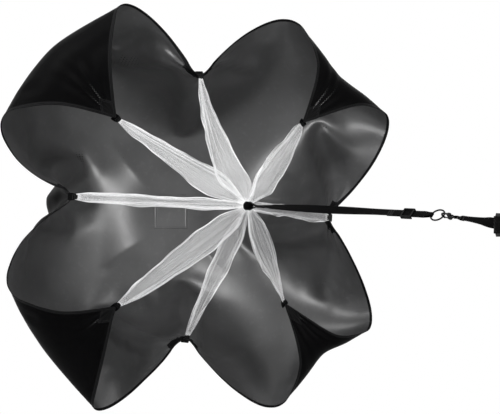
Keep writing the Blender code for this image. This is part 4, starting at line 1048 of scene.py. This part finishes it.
def stripFrame(i):
    # Where strip i starts and ends, and its directions: along, across and out.
    turn = math.radians(45 * i)
    tip = np.array([mouthRadius * math.cos(turn), gatherAhead, mouthRadius * math.sin(turn)])
    tip = gatherPoint + unit(tip) * gatherReach
    along = unit(tip - anchors[i])
    turn = math.radians(45 * i + anchorTurns[i])
    wide = np.array([-math.sin(turn), 0.0, math.cos(turn)])
    wide = unit(wide - along * (wide @ along))
    return anchors[i], tip, along, wide, np.cross(along, wide)


def makeTab(i):
    # Webbing folded over the strip's end, sewn to the rim, with three rows of bar tacks.
    start, tip, along, wide, out = stripFrame(i)
    back = np.linspace(tab["length"], -tab["onCloth"], 22)
    last = -tab["onCloth"] - tab["turnOver"]
    path = np.concatenate([np.stack([back, np.full_like(back, tab["ply"])], -1),
                           [(last, tab["ply"] * 0.5), (last - 0.0002, 0.0), (last, -tab["ply"] * 0.5)],
                           np.stack([back[::-1], np.full_like(back, -tab["ply"])], -1)])
    middles = start + along * path[:, :1] + out * path[:, 1:]
    ahead = unit(np.gradient(middles, axis=0))
    share = np.clip(path[:, 0] / tab["length"], 0, 1)
    widths = tab["rear"] + (tab["front"] - tab["rear"]) * share
    wides = np.broadcast_to(wide, middles.shape)
    made = ribbon(f"anchorTab_{anchorNames[i]}", middles, wides, unit(np.cross(ahead, wides)), widths,
                  tab["thick"], webbing)
    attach(made, "canopy")
    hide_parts(f"anchor_tab_{anchorNames[i]}")
    rows = []
    for way in tab["tackRows"]:
        reach = (tab["rear"] + (tab["front"] - tab["rear"]) * way / tab["length"]) / 2 - tab["tackMargin"]
        for side in np.arange(-reach, reach, tab["tackPitch"]):
            for face in (1, -1):
                rows.append((way, side, face))
    rows = np.array(rows)
    centres = (start + along * rows[:, :1] + wide * rows[:, 1:2]
               + out * rows[:, 2:] * (tab["ply"] + tab["thick"] / 2 + 0.0001))
    slant = unit(along + wide * tab["tackSlant"])
    stitches(f"tabStitches_{anchorNames[i]}", centres, np.broadcast_to(slant, centres.shape),
             out * rows[:, 2:], tab["tackLong"], tab["tackRadius"], blackThread, "canopy")


# For each strip: its width in metres at shares of its length, how far its middle bows along its width and out
# from the axis, how much of its threads shows, and which edge has the deeper folds. How much shows is under 1
# on the right, bottom and bottom-right strips: painted shade that greys them.
stripForms = (
    {"widths": ((0, 0.016), (0.07, 0.030), (0.5, 0.033), (0.8, 0.032), (1, 0.010)),
     "side": 0.002, "out": 0.012, "cover": 0.55, "heavy": 0.0},
    {"widths": ((0, 0.012), (0.1, 0.030), (0.5, 0.060), (0.8, 0.058), (1, 0.010)),
     "side": -0.004, "out": -0.008, "cover": 1.0, "heavy": 0.2},
    {"widths": ((0, 0.010), (0.1, 0.022), (0.44, 0.050), (0.6, 0.071), (0.78, 0.091), (0.86, 0.084),
                (1, 0.010)),
     "side": 0.014, "out": 0.012, "cover": 1.0, "heavy": 0.25},
    {"widths": ((0, 0.012), (0.1, 0.024), (0.6, 0.062), (0.8, 0.072), (1, 0.010)),
     "side": 0.003, "out": -0.007, "cover": 1.0, "heavy": -0.2},
    {"widths": ((0, 0.016), (0.07, 0.027), (0.5, 0.025), (0.8, 0.029), (1, 0.010)),
     "side": 0.0, "out": 0.012, "cover": 1.0, "heavy": 0.0},
    {"widths": ((0, 0.014), (0.07, 0.027), (0.5, 0.065), (0.72, 0.075), (0.88, 0.052), (1, 0.010)),
     "side": 0.003, "out": -0.008, "cover": 1.0, "heavy": 0.2},
    {"widths": ((0, 0.012), (0.07, 0.020), (0.5, 0.045), (0.8, 0.050), (1, 0.010)),
     "side": 0.002, "out": 0.013, "cover": 0.75, "heavy": 0.0},
    {"widths": ((0, 0.008), (0.1, 0.014), (0.6, 0.058), (0.8, 0.060), (1, 0.010)),
     "side": -0.003, "out": -0.008, "cover": 0.7, "heavy": -0.1},
)


def makeStrip(i):
    # A band of net, wider than the room it has, so that it lies in lengthwise folds: across it
    # the fold rises as a cosine, deeper and closer together towards both edges, with finer folds on it.
    band = {"cut": 0.112, "folds": 5, "across": 201, "along": 132, "overlap": 0.010, "endDepth": 0.0011,
            "bunching": 0.45, "fineFolds": 19, "fineRise": 0.0008, "wander": 0.0022, "foldMiddle": 0.30,
            "foldEdges": 1.25, "foldUneven": 0.25, "billow": 0.10, "hemWide": 0.012, "hemFade": 0.016,
            "stations": 200, "smoothings": 24, "corrections": 8}
    form = stripForms[i]
    start, tip, along, wide, out = stripFrame(i)
    start = start + along * (tab["length"] - band["overlap"])
    run = np.linalg.norm(tip - start)
    way = np.linspace(0, 1, band["along"])[:, None]
    across = np.linspace(0, 1, band["across"])[None]
    random = np.random.default_rng(60 + i)
    places, values = zip(*form["widths"])
    stations = np.linspace(0, 1, band["stations"])
    smoothed = np.interp(stations, places, values)
    for turn in range(band["smoothings"]):
        smoothed[1:-1] = (smoothed[:-2] + 2 * smoothed[1:-1] + smoothed[2:]) / 4
    width = np.interp(way[:, 0], stations, smoothed)[:, None]
    spare = np.sqrt(np.maximum(band["cut"] ** 2 - width**2, 0))
    depth = spare / (4 * band["folds"])
    waves = zip((0.055, 0.030, 0.014), (0.35, 0.9, 2.1), (0.7, 1.6, 2.9), random.uniform(0, 6.28, 3))
    drift = sum(size * np.sin(2 * np.pi * (turns * way + bend * across) + first)
                for size, turns, bend, first in waves)
    edges = np.abs(2 * across - 1 + form["heavy"]) ** 1.4
    uneven = np.sin(2 * np.pi * (1.35 * across + 0.4 * way) + random.uniform(0, 6.28))
    strength = band["foldMiddle"] + band["foldEdges"] * edges + band["foldUneven"] * uneven
    opening = smooth((width - 0.02) / 0.03)
    spread = across - band["bunching"] * np.sin(2 * np.pi * across) / (2 * np.pi) * opening
    turned = 2 * np.pi * band["folds"] * (across + drift)
    fineTurned = 2 * np.pi * (band["fineFolds"] * (across + 0.5 * drift)) + 2.2 * np.sin(5 * way)
    fine = band["fineRise"] * np.sin(fineTurned)
    waves = zip((1.3, 2.9, 5.7), random.uniform(0, 6.28, 3), (1, 2, 3))
    wander = band["wander"] * sum(np.sin(2 * np.pi * turns * way + first) / part
                                  for turns, first, part in waves)
    # The folds' height is corrected until the length across the net is the flat cut
    for turn in range(band["corrections"]):
        rise = depth * strength * np.cos(turned)
        lean = 0.5 * depth * strength * np.sin(2 * turned)
        length = np.hypot(np.diff(width * spread + lean), np.diff(rise)).sum(1, keepdims=True)
        depth = depth * np.clip(spare / np.sqrt(np.maximum(length**2 - width**2, 1e-8)), 0.6, 1.5)
    gathered = smooth(way / 0.16) * smooth((1 - way) / 0.10)
    depth = band["endDepth"] + (depth - band["endDepth"]) * gathered
    rise = depth * strength * np.cos(turned)
    lean = 0.5 * depth * strength * np.sin(2 * turned)
    belly = np.sin(np.pi * way) ** 0.8
    sideways = (width * (spread - 0.5) + lean + form["side"] * belly
                + wander * gathered * (2 * across - 1) ** 3)
    billow = form["out"] * belly + band["billow"] * width * (1 - (2 * across - 1) ** 2) * belly
    points = (start + along * (way * run)[..., None] + wide * sideways[..., None]
              + out * (rise + billow + fine * gathered)[..., None])
    uv = np.stack(np.broadcast_arrays(across * band["cut"], way * run), -1)
    hemGap = np.minimum(across, 1 - across) - band["hemWide"]
    edge = np.broadcast_to(1 - smooth(hemGap / band["hemFade"]), uv.shape[:2])
    ends = 1 - smooth(np.minimum(way / 0.05, (1 - way) / 0.07))
    # Thinning the threads of some strips greys them: painted shade.
    held = {"selvedge": np.maximum(edge, ends), "threadCoverPaintedShade": np.full(edge.shape, form["cover"])}
    faces = gridFaces(band["along"], band["across"])
    made = makeMesh(f"meshStrip_{anchorNames[i]}", points.reshape(-1, 3), faces, uv.reshape(-1, 2), net, held)
    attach(made, "canopy")
    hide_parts(f"mesh_strip_{anchorNames[i]}")


for i in range(8):
    makeTab(i)
    makeStrip(i)
print("strips and tabs made")


# The line: frames whose x runs to the runner, with y level and z up
def lineFrame(place, turnDegrees, dropDegrees):
    # Moved to the place, turned about the upright axis, then dropped at its far end.
    turned = Matrix.Rotation(math.radians(turnDegrees), 4, "Z")
    return Matrix.Translation(Vector(place)) @ turned @ Matrix.Rotation(math.radians(dropDegrees), 4, "Y")


leashFrame = lineFrame(gatherPoint, -54, 2.8)
towFrame = leashFrame @ lineFrame((0.5979, 0, 0), 0, 5.2)
linkFrame = towFrame @ lineFrame((0.158, 0, 0), 0, -4.0)
beltFrame = linkFrame @ lineFrame((0.018, 0, 0), 0, -4.0)
ringNear, doubledAt, tailAt, openingAt, glideAt = 0.562, 0.425, 0.440, 0.538, 0.496
leash = {"width": 0.020, "thick": 0.0015, "gathered": 0.0118, "fold": 0.010, "bore": 0.0030, "neck": 0.030,
         "hemEnd": 0.058, "full": 0.085, "faceOn": 0.250, "ply": 0.00095, "waist": 0.0092, "touch": 0.0003,
         "step": 0.0022}
snapTurn = Matrix.Rotation(-math.radians(45), 4, "X")    # the ring, the snap and the glide lie askew


def eased(x, places):
    # A value that eases from one (x, value) to the next.
    x = np.asarray(x, float)
    found = np.full(x.shape, float(places[0][1]))
    for (a, low), (b, high) in zip(places, places[1:]):
        found = np.where(x > a, low + (high - low) * smooth((x - a) / (b - a)), found)
    return found


def arcPath(middle, radius, startDegrees, endDegrees, steps):
    # Points on a part of a circle whose middle lies on the line.
    turn = np.radians(np.linspace(startDegrees, endDegrees, steps + 1))
    return np.stack([middle + radius * np.cos(turn), radius * np.sin(turn)], -1)


def rolledSides(x, roll):
    # Across a strap and out from its face, where its roll about the line is roll(x): the sine and
    # the cosine of the roll.
    rolls, zero = roll(x), np.zeros_like(x)
    return (np.stack([zero, np.sin(rolls), np.cos(rolls)], -1),
            np.stack([zero, np.cos(rolls), -np.sin(rolls)], -1))


def rolledStrap(name, path, roll, width, thick, matrix):
    # Webbing along (x, off the line), rolled about x: its width is upright where roll is 0.
    x, off = path[:, 0], path[:, 1]
    wides, outs = rolledSides(x, roll)
    slope = np.gradient(path, axis=0)
    slope = slope / np.linalg.norm(slope, axis=1, keepdims=True)
    normals = outs * slope[:, :1] - np.array([1.0, 0, 0]) * slope[:, 1:]
    middles = np.stack([x, 0 * x, 0 * x], -1) + outs * off[:, None]
    return ribbon(name, middles, wides, normals, width(x), thick, webbing, matrix)


def leashRoll(x):
    # The leash's twist from the gather to the ring, eased from place to place.
    return eased(x, [(0.014, math.radians(90)), (0.040, math.radians(64)),
                     (leash["hemEnd"], math.radians(58)), (leash["faceOn"], math.radians(12)),
                     (doubledAt, math.radians(45))])


def leashWidth(x):
    # Narrow where it is gathered round the bundle, and again where it goes through the ring.
    return eased(x, [(leash["hemEnd"], leash["gathered"]), (leash["full"], leash["width"]),
                     (openingAt, leash["width"]), (ringNear, leash["fold"])])


def makeLeash():
    # Round the gather's waist and back, along to the ring, round its wire and back through the glide.
    bend, ply = leash["waist"] + leash["touch"] + leash["thick"] / 2, leash["ply"]
    tangent = math.degrees(math.acos(bend / leash["neck"]))
    path = [[(leash["hemEnd"], ply), (leash["neck"], ply)],
            arcPath(0, bend, tangent, 360 - tangent, 20),
            [(leash["neck"], -ply), (leash["hemEnd"], -ply)]]
    runs = np.linspace(leash["hemEnd"], doubledAt, 14)[1:]
    path.append(np.stack([runs, np.full_like(runs, -ply)], -1))
    fold = leash["bore"] + leash["thick"] / 2
    opening = [(doubledAt, ply), (openingAt, ply), (ringNear, fold)]
    steps = np.array([tailAt, (tailAt + openingAt) / 2, openingAt, (openingAt + ringNear) / 2])
    path.append(np.stack([steps, -eased(steps, opening)], -1))
    path.append(arcPath(ringNear, fold, -90, 90, 10))
    path.append(np.stack([steps[::-1], eased(steps[::-1], opening)], -1))
    path = spline(np.concatenate([np.asarray(part, float) for part in path]), leash["step"])
    made = rolledStrap("leashWebbing", path, leashRoll, leashWidth, leash["thick"], leashFrame)
    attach(made, "leash")
    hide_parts("leash")


def lineSurface(matrix, x, side, off, roll):
    # Points and directions on a strap's face: side across it, off from the line.
    wides, outs = rolledSides(x, roll)
    points = np.stack([x, 0 * x, 0 * x], -1) + wides * side[:, None] + outs * off
    turn = np.array(matrix)[:3, :3]
    return placed(matrix, points), wides @ turn.T, outs @ turn.T, turn[:, 0]


def barTacks(name, matrix, roll, rows, off, body):
    # Dense zigzag stitching across a strap, on both faces. rows are (x, half the row's width).
    tack = {"pitch": 0.00075, "length": 0.0020, "radius": 0.00026, "slant": 0.25}
    found = np.array([(x, side) for x, half in rows for side in np.arange(-half, half, tack["pitch"])])
    centres, alongs, normals = [], [], []
    for face in (1, -1):
        points, wides, outs, ahead = lineSurface(matrix, found[:, 0], found[:, 1], face * off, roll)
        centres.append(points)
        alongs.append(ahead + wides * tack["slant"])
        normals.append(outs * face)
    stitches(name, np.concatenate(centres), np.concatenate(alongs), np.concatenate(normals),
             tack["length"], tack["radius"], blackThread, body)


makeLeash()
tackLift = leash["ply"] + leash["thick"] / 2 + 0.00012    # the stitches' middles are just off the webbing
barTacks("leashTacks", leashFrame, leashRoll, [(0.034, 0.0048), (0.040, 0.0048), (0.053, 0.0050)],
         tackLift, "leash")
barTacks("leashFoldTacks", leashFrame, leashRoll, [(0.4420, 0.0085), (0.4480, 0.0085), (0.4535, 0.0085)],
         tackLift, "leash")
print("leash made")


# The gather: the strips' ends, bunched and bound, waisted by the leash's loop
def makeGather():
    # A turned bundle whose sides are fluted by the net's folds. Net faces towards the canopy, and
    # webbing covers what lies ahead of a wavy edge.
    values = {"radius": 0.0139, "groove": 0.0088, "flutes": 17, "depth": 0.0009, "around": 204,
              "boundFrom": -0.0045}
    turn = np.linspace(0, 2 * np.pi, values["around"], endpoint=False)
    lean = np.radians(np.linspace(89.0, 28.0, 14))
    # From one end of the bundle to its waist, as (radius, place along its axis), and the same mirrored
    profile = [(values["radius"] * math.cos(a), values["radius"] * math.sin(a)) for a in lean]
    profile += [(0.0112, 0.0060), (0.0094, 0.0052), (values["groove"], 0.0040), (values["groove"], 0.0)]
    profile += [(r, -y) for r, y in reversed(profile[:-1])]
    r, y = np.array(profile).T
    wave = (np.abs(np.sin(values["flutes"] * turn / 2 + 0.9 * np.sin(3 * turn))) - 0.6
            + 0.35 * np.sin(7 * turn + 1.2))
    share = smooth(r / values["radius"])
    radius = r[:, None] - values["depth"] * share[:, None] * (0.8 - wave[None])
    drift = turn[None] + 0.25 * (y[:, None] / values["radius"]) ** 2
    level = np.broadcast_to(y[:, None], radius.shape)
    rings = np.stack([radius * np.cos(drift), level, radius * np.sin(drift)], -1)
    uv = np.stack([np.broadcast_to(turn * values["radius"], radius.shape), level], -1)
    made = loft("gather", rings, bunchedNet, uv)
    made.data.materials.append(webbing)
    middles = np.empty(len(made.data.polygons) * 3)
    made.data.polygons.foreach_get("center", middles)
    middles = middles.reshape(-1, 3)
    angle = np.arctan2(middles[:, 2], middles[:, 1])
    edge = values["boundFrom"] + 0.0042 * np.sin(angle + 0.6) + 0.0014 * np.sin(4 * angle)
    bound = middles[:, 0] > edge
    made.data.polygons.foreach_set("material_index", bound.astype(np.int32))
    made.data.transform(leashFrame)
    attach(made, "gather")
    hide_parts("strip_gather")


makeGather()


# Hardware on the line
def makeGlide():
    # Two end bars under the webbing and one over it, between two side rails.
    values = {"long": 0.031, "bar": 0.0042, "rail": 0.0036, "wide": 0.0105, "depth": 0.0047,
              "inside": 0.0022, "corner": 0.0012, "edge": 0.0007}
    half = values["wide"] + values["rail"]
    place = leashFrame @ Matrix.Translation((glideAt, 0, 0)) @ snapTurn
    end = values["long"] / 2
    parts = []
    for hand in (-1, 1):
        parts.append(slab("rail", end, values["rail"] / 2, 0.0016, -values["depth"], values["depth"], 0.0012,
                          plastic, (0, hand * (half - values["rail"] / 2)), "y", place))
    for side in (-1, 1, 0):
        low, high = sorted(values[key] * (1 if side == 0 else -1) for key in ("inside", "depth"))
        parts.append(slab("bar", values["bar"] / 2, half - values["corner"], values["corner"], low, high,
                          values["edge"], plastic, (side * (end - values["bar"] / 2), 0), "y", place))
    made = joined("triGlide", parts)
    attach(made, "glide")
    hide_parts("tri_glide")


def makeRing():
    # A round wire ring that starts where it hangs in the leash's fold.
    values = {"radius": 0.017, "wire": 0.0020, "steps": 96}
    turn = np.linspace(0, 2 * np.pi, values["steps"], endpoint=False)
    path = np.stack([values["radius"] * (1 - np.cos(turn)), 0 * turn, values["radius"] * np.sin(turn)], -1)
    place = leashFrame @ Matrix.Translation((ringNear, 0, 0)) @ snapTurn
    made = wireRing("steelRing", path, values["wire"], (0, 1, 0), steel, matrix=place)
    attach(made, "ring")
    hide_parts("ring")


def makeSnap():
    # The hook's wire goes round its bay and narrows to a round tip. The barrel, with the bolt's nose
    # and the knob's slot, stands behind it, and a post with a head holds the swivel eye.
    values = {"wire": 0.0023, "bay": 0.0066, "start": 0.0088, "long": 0.0105, "half": 0.0092,
              "thick": 0.0066, "corner": 0.0026, "tip": 80, "post": 0.0042, "knob": 0.0014, "step": 0.0006}
    place = towFrame @ snapTurn
    bay, wire = values["bay"], values["wire"]
    turn = np.radians(np.linspace(-90, -90 - (270 - values["tip"]), 40))
    path = np.stack([bay * np.cos(turn), bay * np.sin(turn)], -1)
    path = spline(np.concatenate([[(0.0115, -bay), (0.006, -bay)], path]), values["step"])
    ahead = np.gradient(path, axis=0)
    ahead /= np.linalg.norm(ahead, axis=1, keepdims=True)
    side = np.stack([ahead[:, 1], -ahead[:, 0]], -1)
    run = np.concatenate([[0], np.cumsum(np.linalg.norm(np.diff(path, axis=0), axis=1))])
    left = run[-1] - run
    size = wire * np.sqrt(np.clip(1 - (1 - np.clip(left / wire, 0, 1)) ** 2, 0.02, 1))
    around = 2 * np.pi * np.arange(20) / 20
    level = path[:, None] + (side * size[:, None])[:, None] * np.cos(around)[:, None]
    rings = np.concatenate([level, (size[:, None] * np.sin(around))[..., None]], -1)
    middle = values["start"] + values["long"] / 2
    end = values["start"] + values["long"]
    # Each profile is (way along, radius), in metres
    parts = [loft("hook", rings, alloy, matrix=place),
             slab("barrel", values["long"] / 2, values["half"], values["corner"], -values["thick"] / 2,
                  values["thick"] / 2, 0.0014, alloy, centre=(middle, 0), matrix=place),
             lathe("nose", [(0, 0.0), (0, 0.0024), (0.0004, 0.0028), (0.003, 0.0028), (0.003, 0.0)],
                   (values["start"] - 0.0016, bay, 0), (1, 0, 0), alloy, matrix=place),
             lathe("slot", [(0, 0.0), (0, 0.0017), (0.0006, 0.0017), (0.0006, 0.0)],
                   (values["start"] + 0.0028, values["half"] - 0.0004, 0), (0, 1, 0), alloy, matrix=place),
             lathe("post", [(-0.001, 0.0019), (0, 0.0023), (0.0004, 0.0019), (values["post"], 0.0019),
                            (values["post"], 0.0029), (values["post"] + 0.0003, 0.0031),
                            (values["post"] + 0.0009, 0.0030), (values["post"] + 0.0013, 0.0020)],
                   (end, 0, 0), (1, 0, 0), alloy, matrix=place)]
    made = joined("snapHook", parts)
    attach(made, "snap")
    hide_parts("snap_body")
    lean = math.radians(values["tip"])
    start = bay * math.cos(lean) + 0.0006
    reach = end - 0.0053 - start
    at = values["start"] + 0.001 + values["knob"] + 0.0003
    top = values["half"] - bay + 0.0030
    parts = [lathe("bolt", [(0, 0.0009), (0.0005, 0.0015), (reach, 0.0015)],
                   (start, bay, 0), (1, 0, 0), alloy, matrix=place),
             lathe("knob", [(0, 0.0011), (top - 0.0017, 0.0011), (top - 0.0013, 0.0014),
                            (top - 0.0004, 0.0014), (top, 0.0009)],
                   (at, bay, 0), (0, 1, 0), alloy, 24, matrix=place)]
    bolt = joined("snapBolt", parts)
    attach(bolt, "bolt")
    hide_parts("snap_bolt")


def makeEye():
    # A rounded wire frame for the tow strap, on a turned collar round the snap's post.
    values = {"start": 0.0196, "end": 0.0232, "collar": 0.0046, "bar": 0.0315, "half": 0.0088,
              "corner": 0.0026, "wire": 0.0018}
    middle = (values["start"] + values["end"]) / 2
    halfLong = (values["bar"] - middle) / 2
    outline = roundedOutline(halfLong, values["half"], values["corner"], 10)
    path = np.stack([outline[:, 0] + middle + halfLong, outline[:, 1], 0 * outline[:, 0]], -1)
    parts = [wireRing("bail", path, values["wire"], (0, 0, 1), alloy, matrix=towFrame),
             lathe("collar", [(0, 0.0022), (0, 0.0041), (0.0005, values["collar"]),
                              (0.0031, values["collar"]), (0.0036, 0.0041), (0.0036, 0.0034)],
                   (values["start"], 0, 0), (1, 0, 0), alloy, matrix=towFrame)]
    made = joined("swivelEye", parts)
    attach(made, "swivel")
    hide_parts("swivel_eye")


tow = {"thick": 0.0016, "width": 0.025, "gathered": 0.0125, "eye": 0.0315, "link": 0.158, "hem": 0.024,
       "edgeOn": 0.100, "faceOn": 0.134, "ply": 0.0010, "eyeBend": 0.0030, "linkBend": 0.0039,
       "step": 0.0018}


def towRoll(x):
    # The tow strap's twist from the swivel eye to the link, eased from place to place.
    return eased(x, [(tow["eye"] + 0.004, math.radians(90)), (tow["eye"] + 0.018, math.radians(30)),
                     (tow["edgeOn"], math.radians(38)), (tow["faceOn"], 0.0)])


def towWidth(x):
    # Gathered where it goes through the eye, and full width from where it lies flat.
    return eased(x, [(tow["eye"] + tow["hem"], tow["gathered"]), (tow["faceOn"], tow["width"])])


def makeTowStrap():
    # Folded round the eye's bar at one end and round the link at the other, and sewn back on itself.
    ply, near, far = tow["ply"], tow["eye"] + tow["hem"], tow["link"] - tow["hem"]
    runs = np.linspace(near, far, 9)[1:]
    nearFold, farFold = tow["eye"] + tow["hem"] / 2, tow["link"] - tow["hem"] / 2
    path = [[(near, ply), (nearFold, ply)], arcPath(tow["eye"], tow["eyeBend"], 90, 270, 10),
            [(nearFold, -ply), (near, -ply)], np.stack([runs, np.full_like(runs, -ply)], -1),
            [(farFold, -ply)], arcPath(tow["link"], tow["linkBend"], -90, 90, 10),
            [(farFold, ply), (far, ply)]]
    path = spline(np.concatenate([np.asarray(part, float) for part in path]), tow["step"])
    made = rolledStrap("towWebbing", path, towRoll, towWidth, tow["thick"], towFrame)
    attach(made, "tow_strap")
    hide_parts("tow_strap")
    face = ply + tow["thick"] / 2 + 0.00012
    barTacks("towNearTacks", towFrame, towRoll, [(0.0445, 0.0052), (0.0530, 0.0052)], face, "tow_strap")
    barTacks("towFarTacks", towFrame, towRoll, [(0.1365, 0.0108), (0.1430, 0.0108)], face, "tow_strap")


def makeLink():
    # The belt's rectangular ring: wire along a rounded outline.
    values = {"reach": 0.018, "half": 0.0150, "wire": 0.0019, "corner": 0.0026}
    outline = roundedOutline(values["reach"] / 2, values["half"], values["corner"], 10)
    path = np.stack([outline[:, 0] + values["reach"] / 2, 0 * outline[:, 0], outline[:, 1]], -1)
    made = wireRing("beltLink", path, values["wire"], (0, 1, 0), steel, matrix=linkFrame)
    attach(made, "link")
    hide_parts("belt_link")


makeGlide()
makeRing()
makeSnap()
makeEye()
makeTowStrap()
makeLink()
print("hardware and tow strap made")


# The waist belt, in its own frame: x is away from the link, y across the back, z up
belt = {"straight": 0.110, "radius": 0.110, "width": 0.038, "thick": 0.0016, "steps": 14, "touch": 0.0003,
        "buckleThick": 0.0104, "bar": 0.0021, "socket": 0.031, "frame": 0.0115, "maleBase": 0.0235,
        "hem": 0.026, "tail": 0.070, "tailLift": 0.0052, "tabFace": 0.0055, "step": 0.0025}
linkTab = {"thick": 0.0014, "wide": 0.022, "half": 0.026, "bore": 0.0030, "ply": 0.0009, "step": 0.0012,
           "tackRows": (0.0085, 0.0150, 0.0235)}
# Where the belt's back and front straights lie, and its two buckle bars
beltBack = belt["tabFace"] + linkTab["thick"] + belt["touch"] + belt["thick"] / 2
beltFront = beltBack + 2 * belt["radius"]
barHalf = belt["bar"] / math.sqrt(2)
femaleBar = belt["socket"] + belt["frame"] - barHalf
maleBar = belt["maleBase"] - barHalf
barOut = belt["thick"] / 2 + belt["touch"] + belt["buckleThick"] / 2
barBend = belt["bar"] + belt["touch"] + belt["thick"] / 2


def hipArc(hand, inset, steps, endDegrees=180):
    # Round one hip, from the back: a part of a circle, that much inside the belt's own.
    turn = np.radians(np.linspace(0, endDegrees, steps + 1))
    radius = belt["radius"] - inset
    return np.stack([hand * (belt["straight"] / 2 + radius * np.sin(turn)),
                     beltBack + belt["radius"] - radius * np.cos(turn)], -1)


def foldPath(bar, hand, lower, hem):
    # Round a buckle's bar from the belt's front, and on along the hem.
    turn = np.radians(np.linspace(-90, 90, 9))
    found = np.stack([hand * (bar - barBend * np.cos(turn)), beltFront + barOut + barBend * np.sin(turn)], -1)
    found[0] = (hand * bar, beltFront + lower)
    return np.concatenate([found, hem])


def beltRibbon(name, path, width, thick, step):
    # Upright webbing along a level path of (across the back, away from the link).
    path = spline(path, step)
    middles = np.stack([path[:, 1], path[:, 0], np.zeros(len(path))], -1)
    ahead = unit(np.gradient(middles, axis=0))
    up = np.broadcast_to(np.array([0.0, 0, 1]), middles.shape)
    made = ribbon(name, middles, up, unit(np.cross(up, ahead)), width, thick, webbing, beltFrame)
    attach(made, "belt")
    return made


def makeBelt():
    # The belt goes round the waist from one buckle half to the other, the tail hangs on the male
    # half, and the tab that holds the link is sewn to the middle of the back.
    lap = belt["thick"] + belt["touch"]
    hem = [(femaleBar + barBend, beltFront + barOut + barBend),
           (femaleBar + barBend * 3, beltFront + lap + belt["touch"]),
           (femaleBar + barBend * 3 + belt["hem"] / 2, beltFront + lap)]
    path = np.concatenate([[(-maleBar + belt["bar"] * 2, beltFront), (-belt["straight"] / 2, beltFront)],
                           hipArc(-1, 0, belt["steps"])[::-1][1:], hipArc(1, 0, belt["steps"]),
                           foldPath(femaleBar, 1, barOut - barBend, hem)])
    webbingPiece = beltRibbon("beltWebbing", path, belt["width"], belt["thick"], belt["step"])
    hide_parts("belt_webbing")
    lift = beltFront + barOut + barBend
    hem = [(-maleBar - barBend, lift), (-maleBar - belt["tail"] / 2, lift + belt["tailLift"] / 4),
           (-maleBar - belt["tail"] * 0.8, lift + belt["tailLift"] / 2),
           (-maleBar - belt["tail"], lift + belt["tailLift"])]
    path = np.concatenate([[(-maleBar - barBend, beltFront + lap)], foldPath(maleBar, -1, lap, hem)])
    tail = beltRibbon("beltTail", path, belt["width"], belt["thick"], belt["step"])
    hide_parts("belt_tail")
    half, ply = linkTab["thick"] / 2, linkTab["ply"]
    bend = linkTab["bore"] + half
    face = beltBack - belt["thick"] / 2 - belt["touch"] - half
    turn = np.radians(np.linspace(50, 310, 13))
    path = np.concatenate([[(linkTab["half"], face), (ply + 4 * half, face), (ply + half, face - half)],
                           np.stack([bend * np.sin(turn), bend * np.cos(turn)], -1),
                           [(-ply - half, face - half), (-ply - 4 * half, face), (-linkTab["half"], face)]])
    sewn = beltRibbon("linkTab", path, linkTab["wide"], linkTab["thick"], linkTab["step"])
    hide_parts("link_tab")
    rows = np.array([(hand * y, z) for hand in (-1, 1) for y in linkTab["tackRows"]
                     for z in np.arange(-0.0095, 0.0096, 0.0008)])
    centres = np.stack([np.full(len(rows), face - half - 0.0001), rows[:, 0], rows[:, 1]], -1)
    turned = np.array(beltFrame)[:3, :3]
    stitches("linkTabStitches", placed(beltFrame, centres), np.tile(turned @ (0, 1, 0.25), (len(rows), 1)),
             np.tile(turned @ (-1, 0, 0), (len(rows), 1)), 0.0020, 0.00026, blackThread, "belt")


def makePad():
    # The back pad: thick in the middle, sewn thin at its edge and along three channels.
    values = {"wide": 0.052, "thick": 0.0044, "edge": 0.0012, "across": 61, "wrap": 2, "corner": 0.012,
              "step": 0.0016, "half": 0.0020, "outerHalf": 0.0019, "slope": 0.0065,
              "channels": (-0.0105, 0.0, 0.0105), "channelDeep": 0.0011, "channelHalf": 0.0013,
              "puckerPitch": 0.0093, "puckerHigh": 0.05}
    inset = belt["thick"] / 2 + belt["touch"] + values["half"]
    end = 180 * values["wrap"] / belt["steps"]
    left, right = (hipArc(hand, inset, values["wrap"], end) for hand in (-1, 1))
    path = spline(np.concatenate([left[::-1], right]), values["step"])
    middles = np.stack([path[:, 1], path[:, 0], np.zeros(len(path))], -1)
    ahead = unit(np.gradient(middles, axis=0))
    up = np.array([0.0, 0.0, 1.0])
    inner = unit(np.cross(up, ahead))
    run = np.concatenate([[0], np.cumsum(np.linalg.norm(np.diff(middles, axis=0), axis=1))])
    gapEnd = np.minimum(run, run[-1] - run)
    rounding = np.clip(1 - gapEnd / values["corner"], 0, 1)
    halfWide = values["wide"] / 2 - values["corner"] * (1 - np.sqrt(np.clip(1 - rounding**2, 0, 1)))
    share = np.linspace(-1, 1, values["across"])
    z = halfWide[:, None] * share
    gap = np.minimum(halfWide[:, None] - np.abs(z), gapEnd[:, None])
    crown = values["edge"] / 2 + (values["thick"] - values["edge"]) / 2 * smooth(gap / values["slope"])
    for channel in values["channels"]:
        groove = np.exp(-((z - channel) / values["channelHalf"]) ** 2) * smooth((gap - 0.003) / 0.004)
        crown = crown - values["channelDeep"] * groove
    puckers = np.sin(run[:, None] * 2 * np.pi / values["puckerPitch"] + 3 * share)
    crown = crown * (1 + values["puckerHigh"] * puckers)
    base = middles[:, None] + z[..., None] * up
    top = base + inner[:, None] * crown[..., None]
    bottom = base - inner[:, None] * (np.minimum(crown, values["outerHalf"]))[..., None]
    rings = np.concatenate([top, bottom[:, ::-1]], axis=1)
    across = np.concatenate([z, z[:, ::-1]], 1)
    uv = np.stack([across, np.broadcast_to(run[:, None], across.shape)], -1)
    made = loft("backPad", rings, spacer, uv, matrix=beltFrame)
    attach(made, "belt")
    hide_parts("belt_pad")


makeBelt()
makePad()
for name in ("buckle_female", "buckle_male"):
    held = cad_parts[name]
    for place in range(len(held.material_slots)):
        held.material_slots[place].material = plastic
print("belt made")
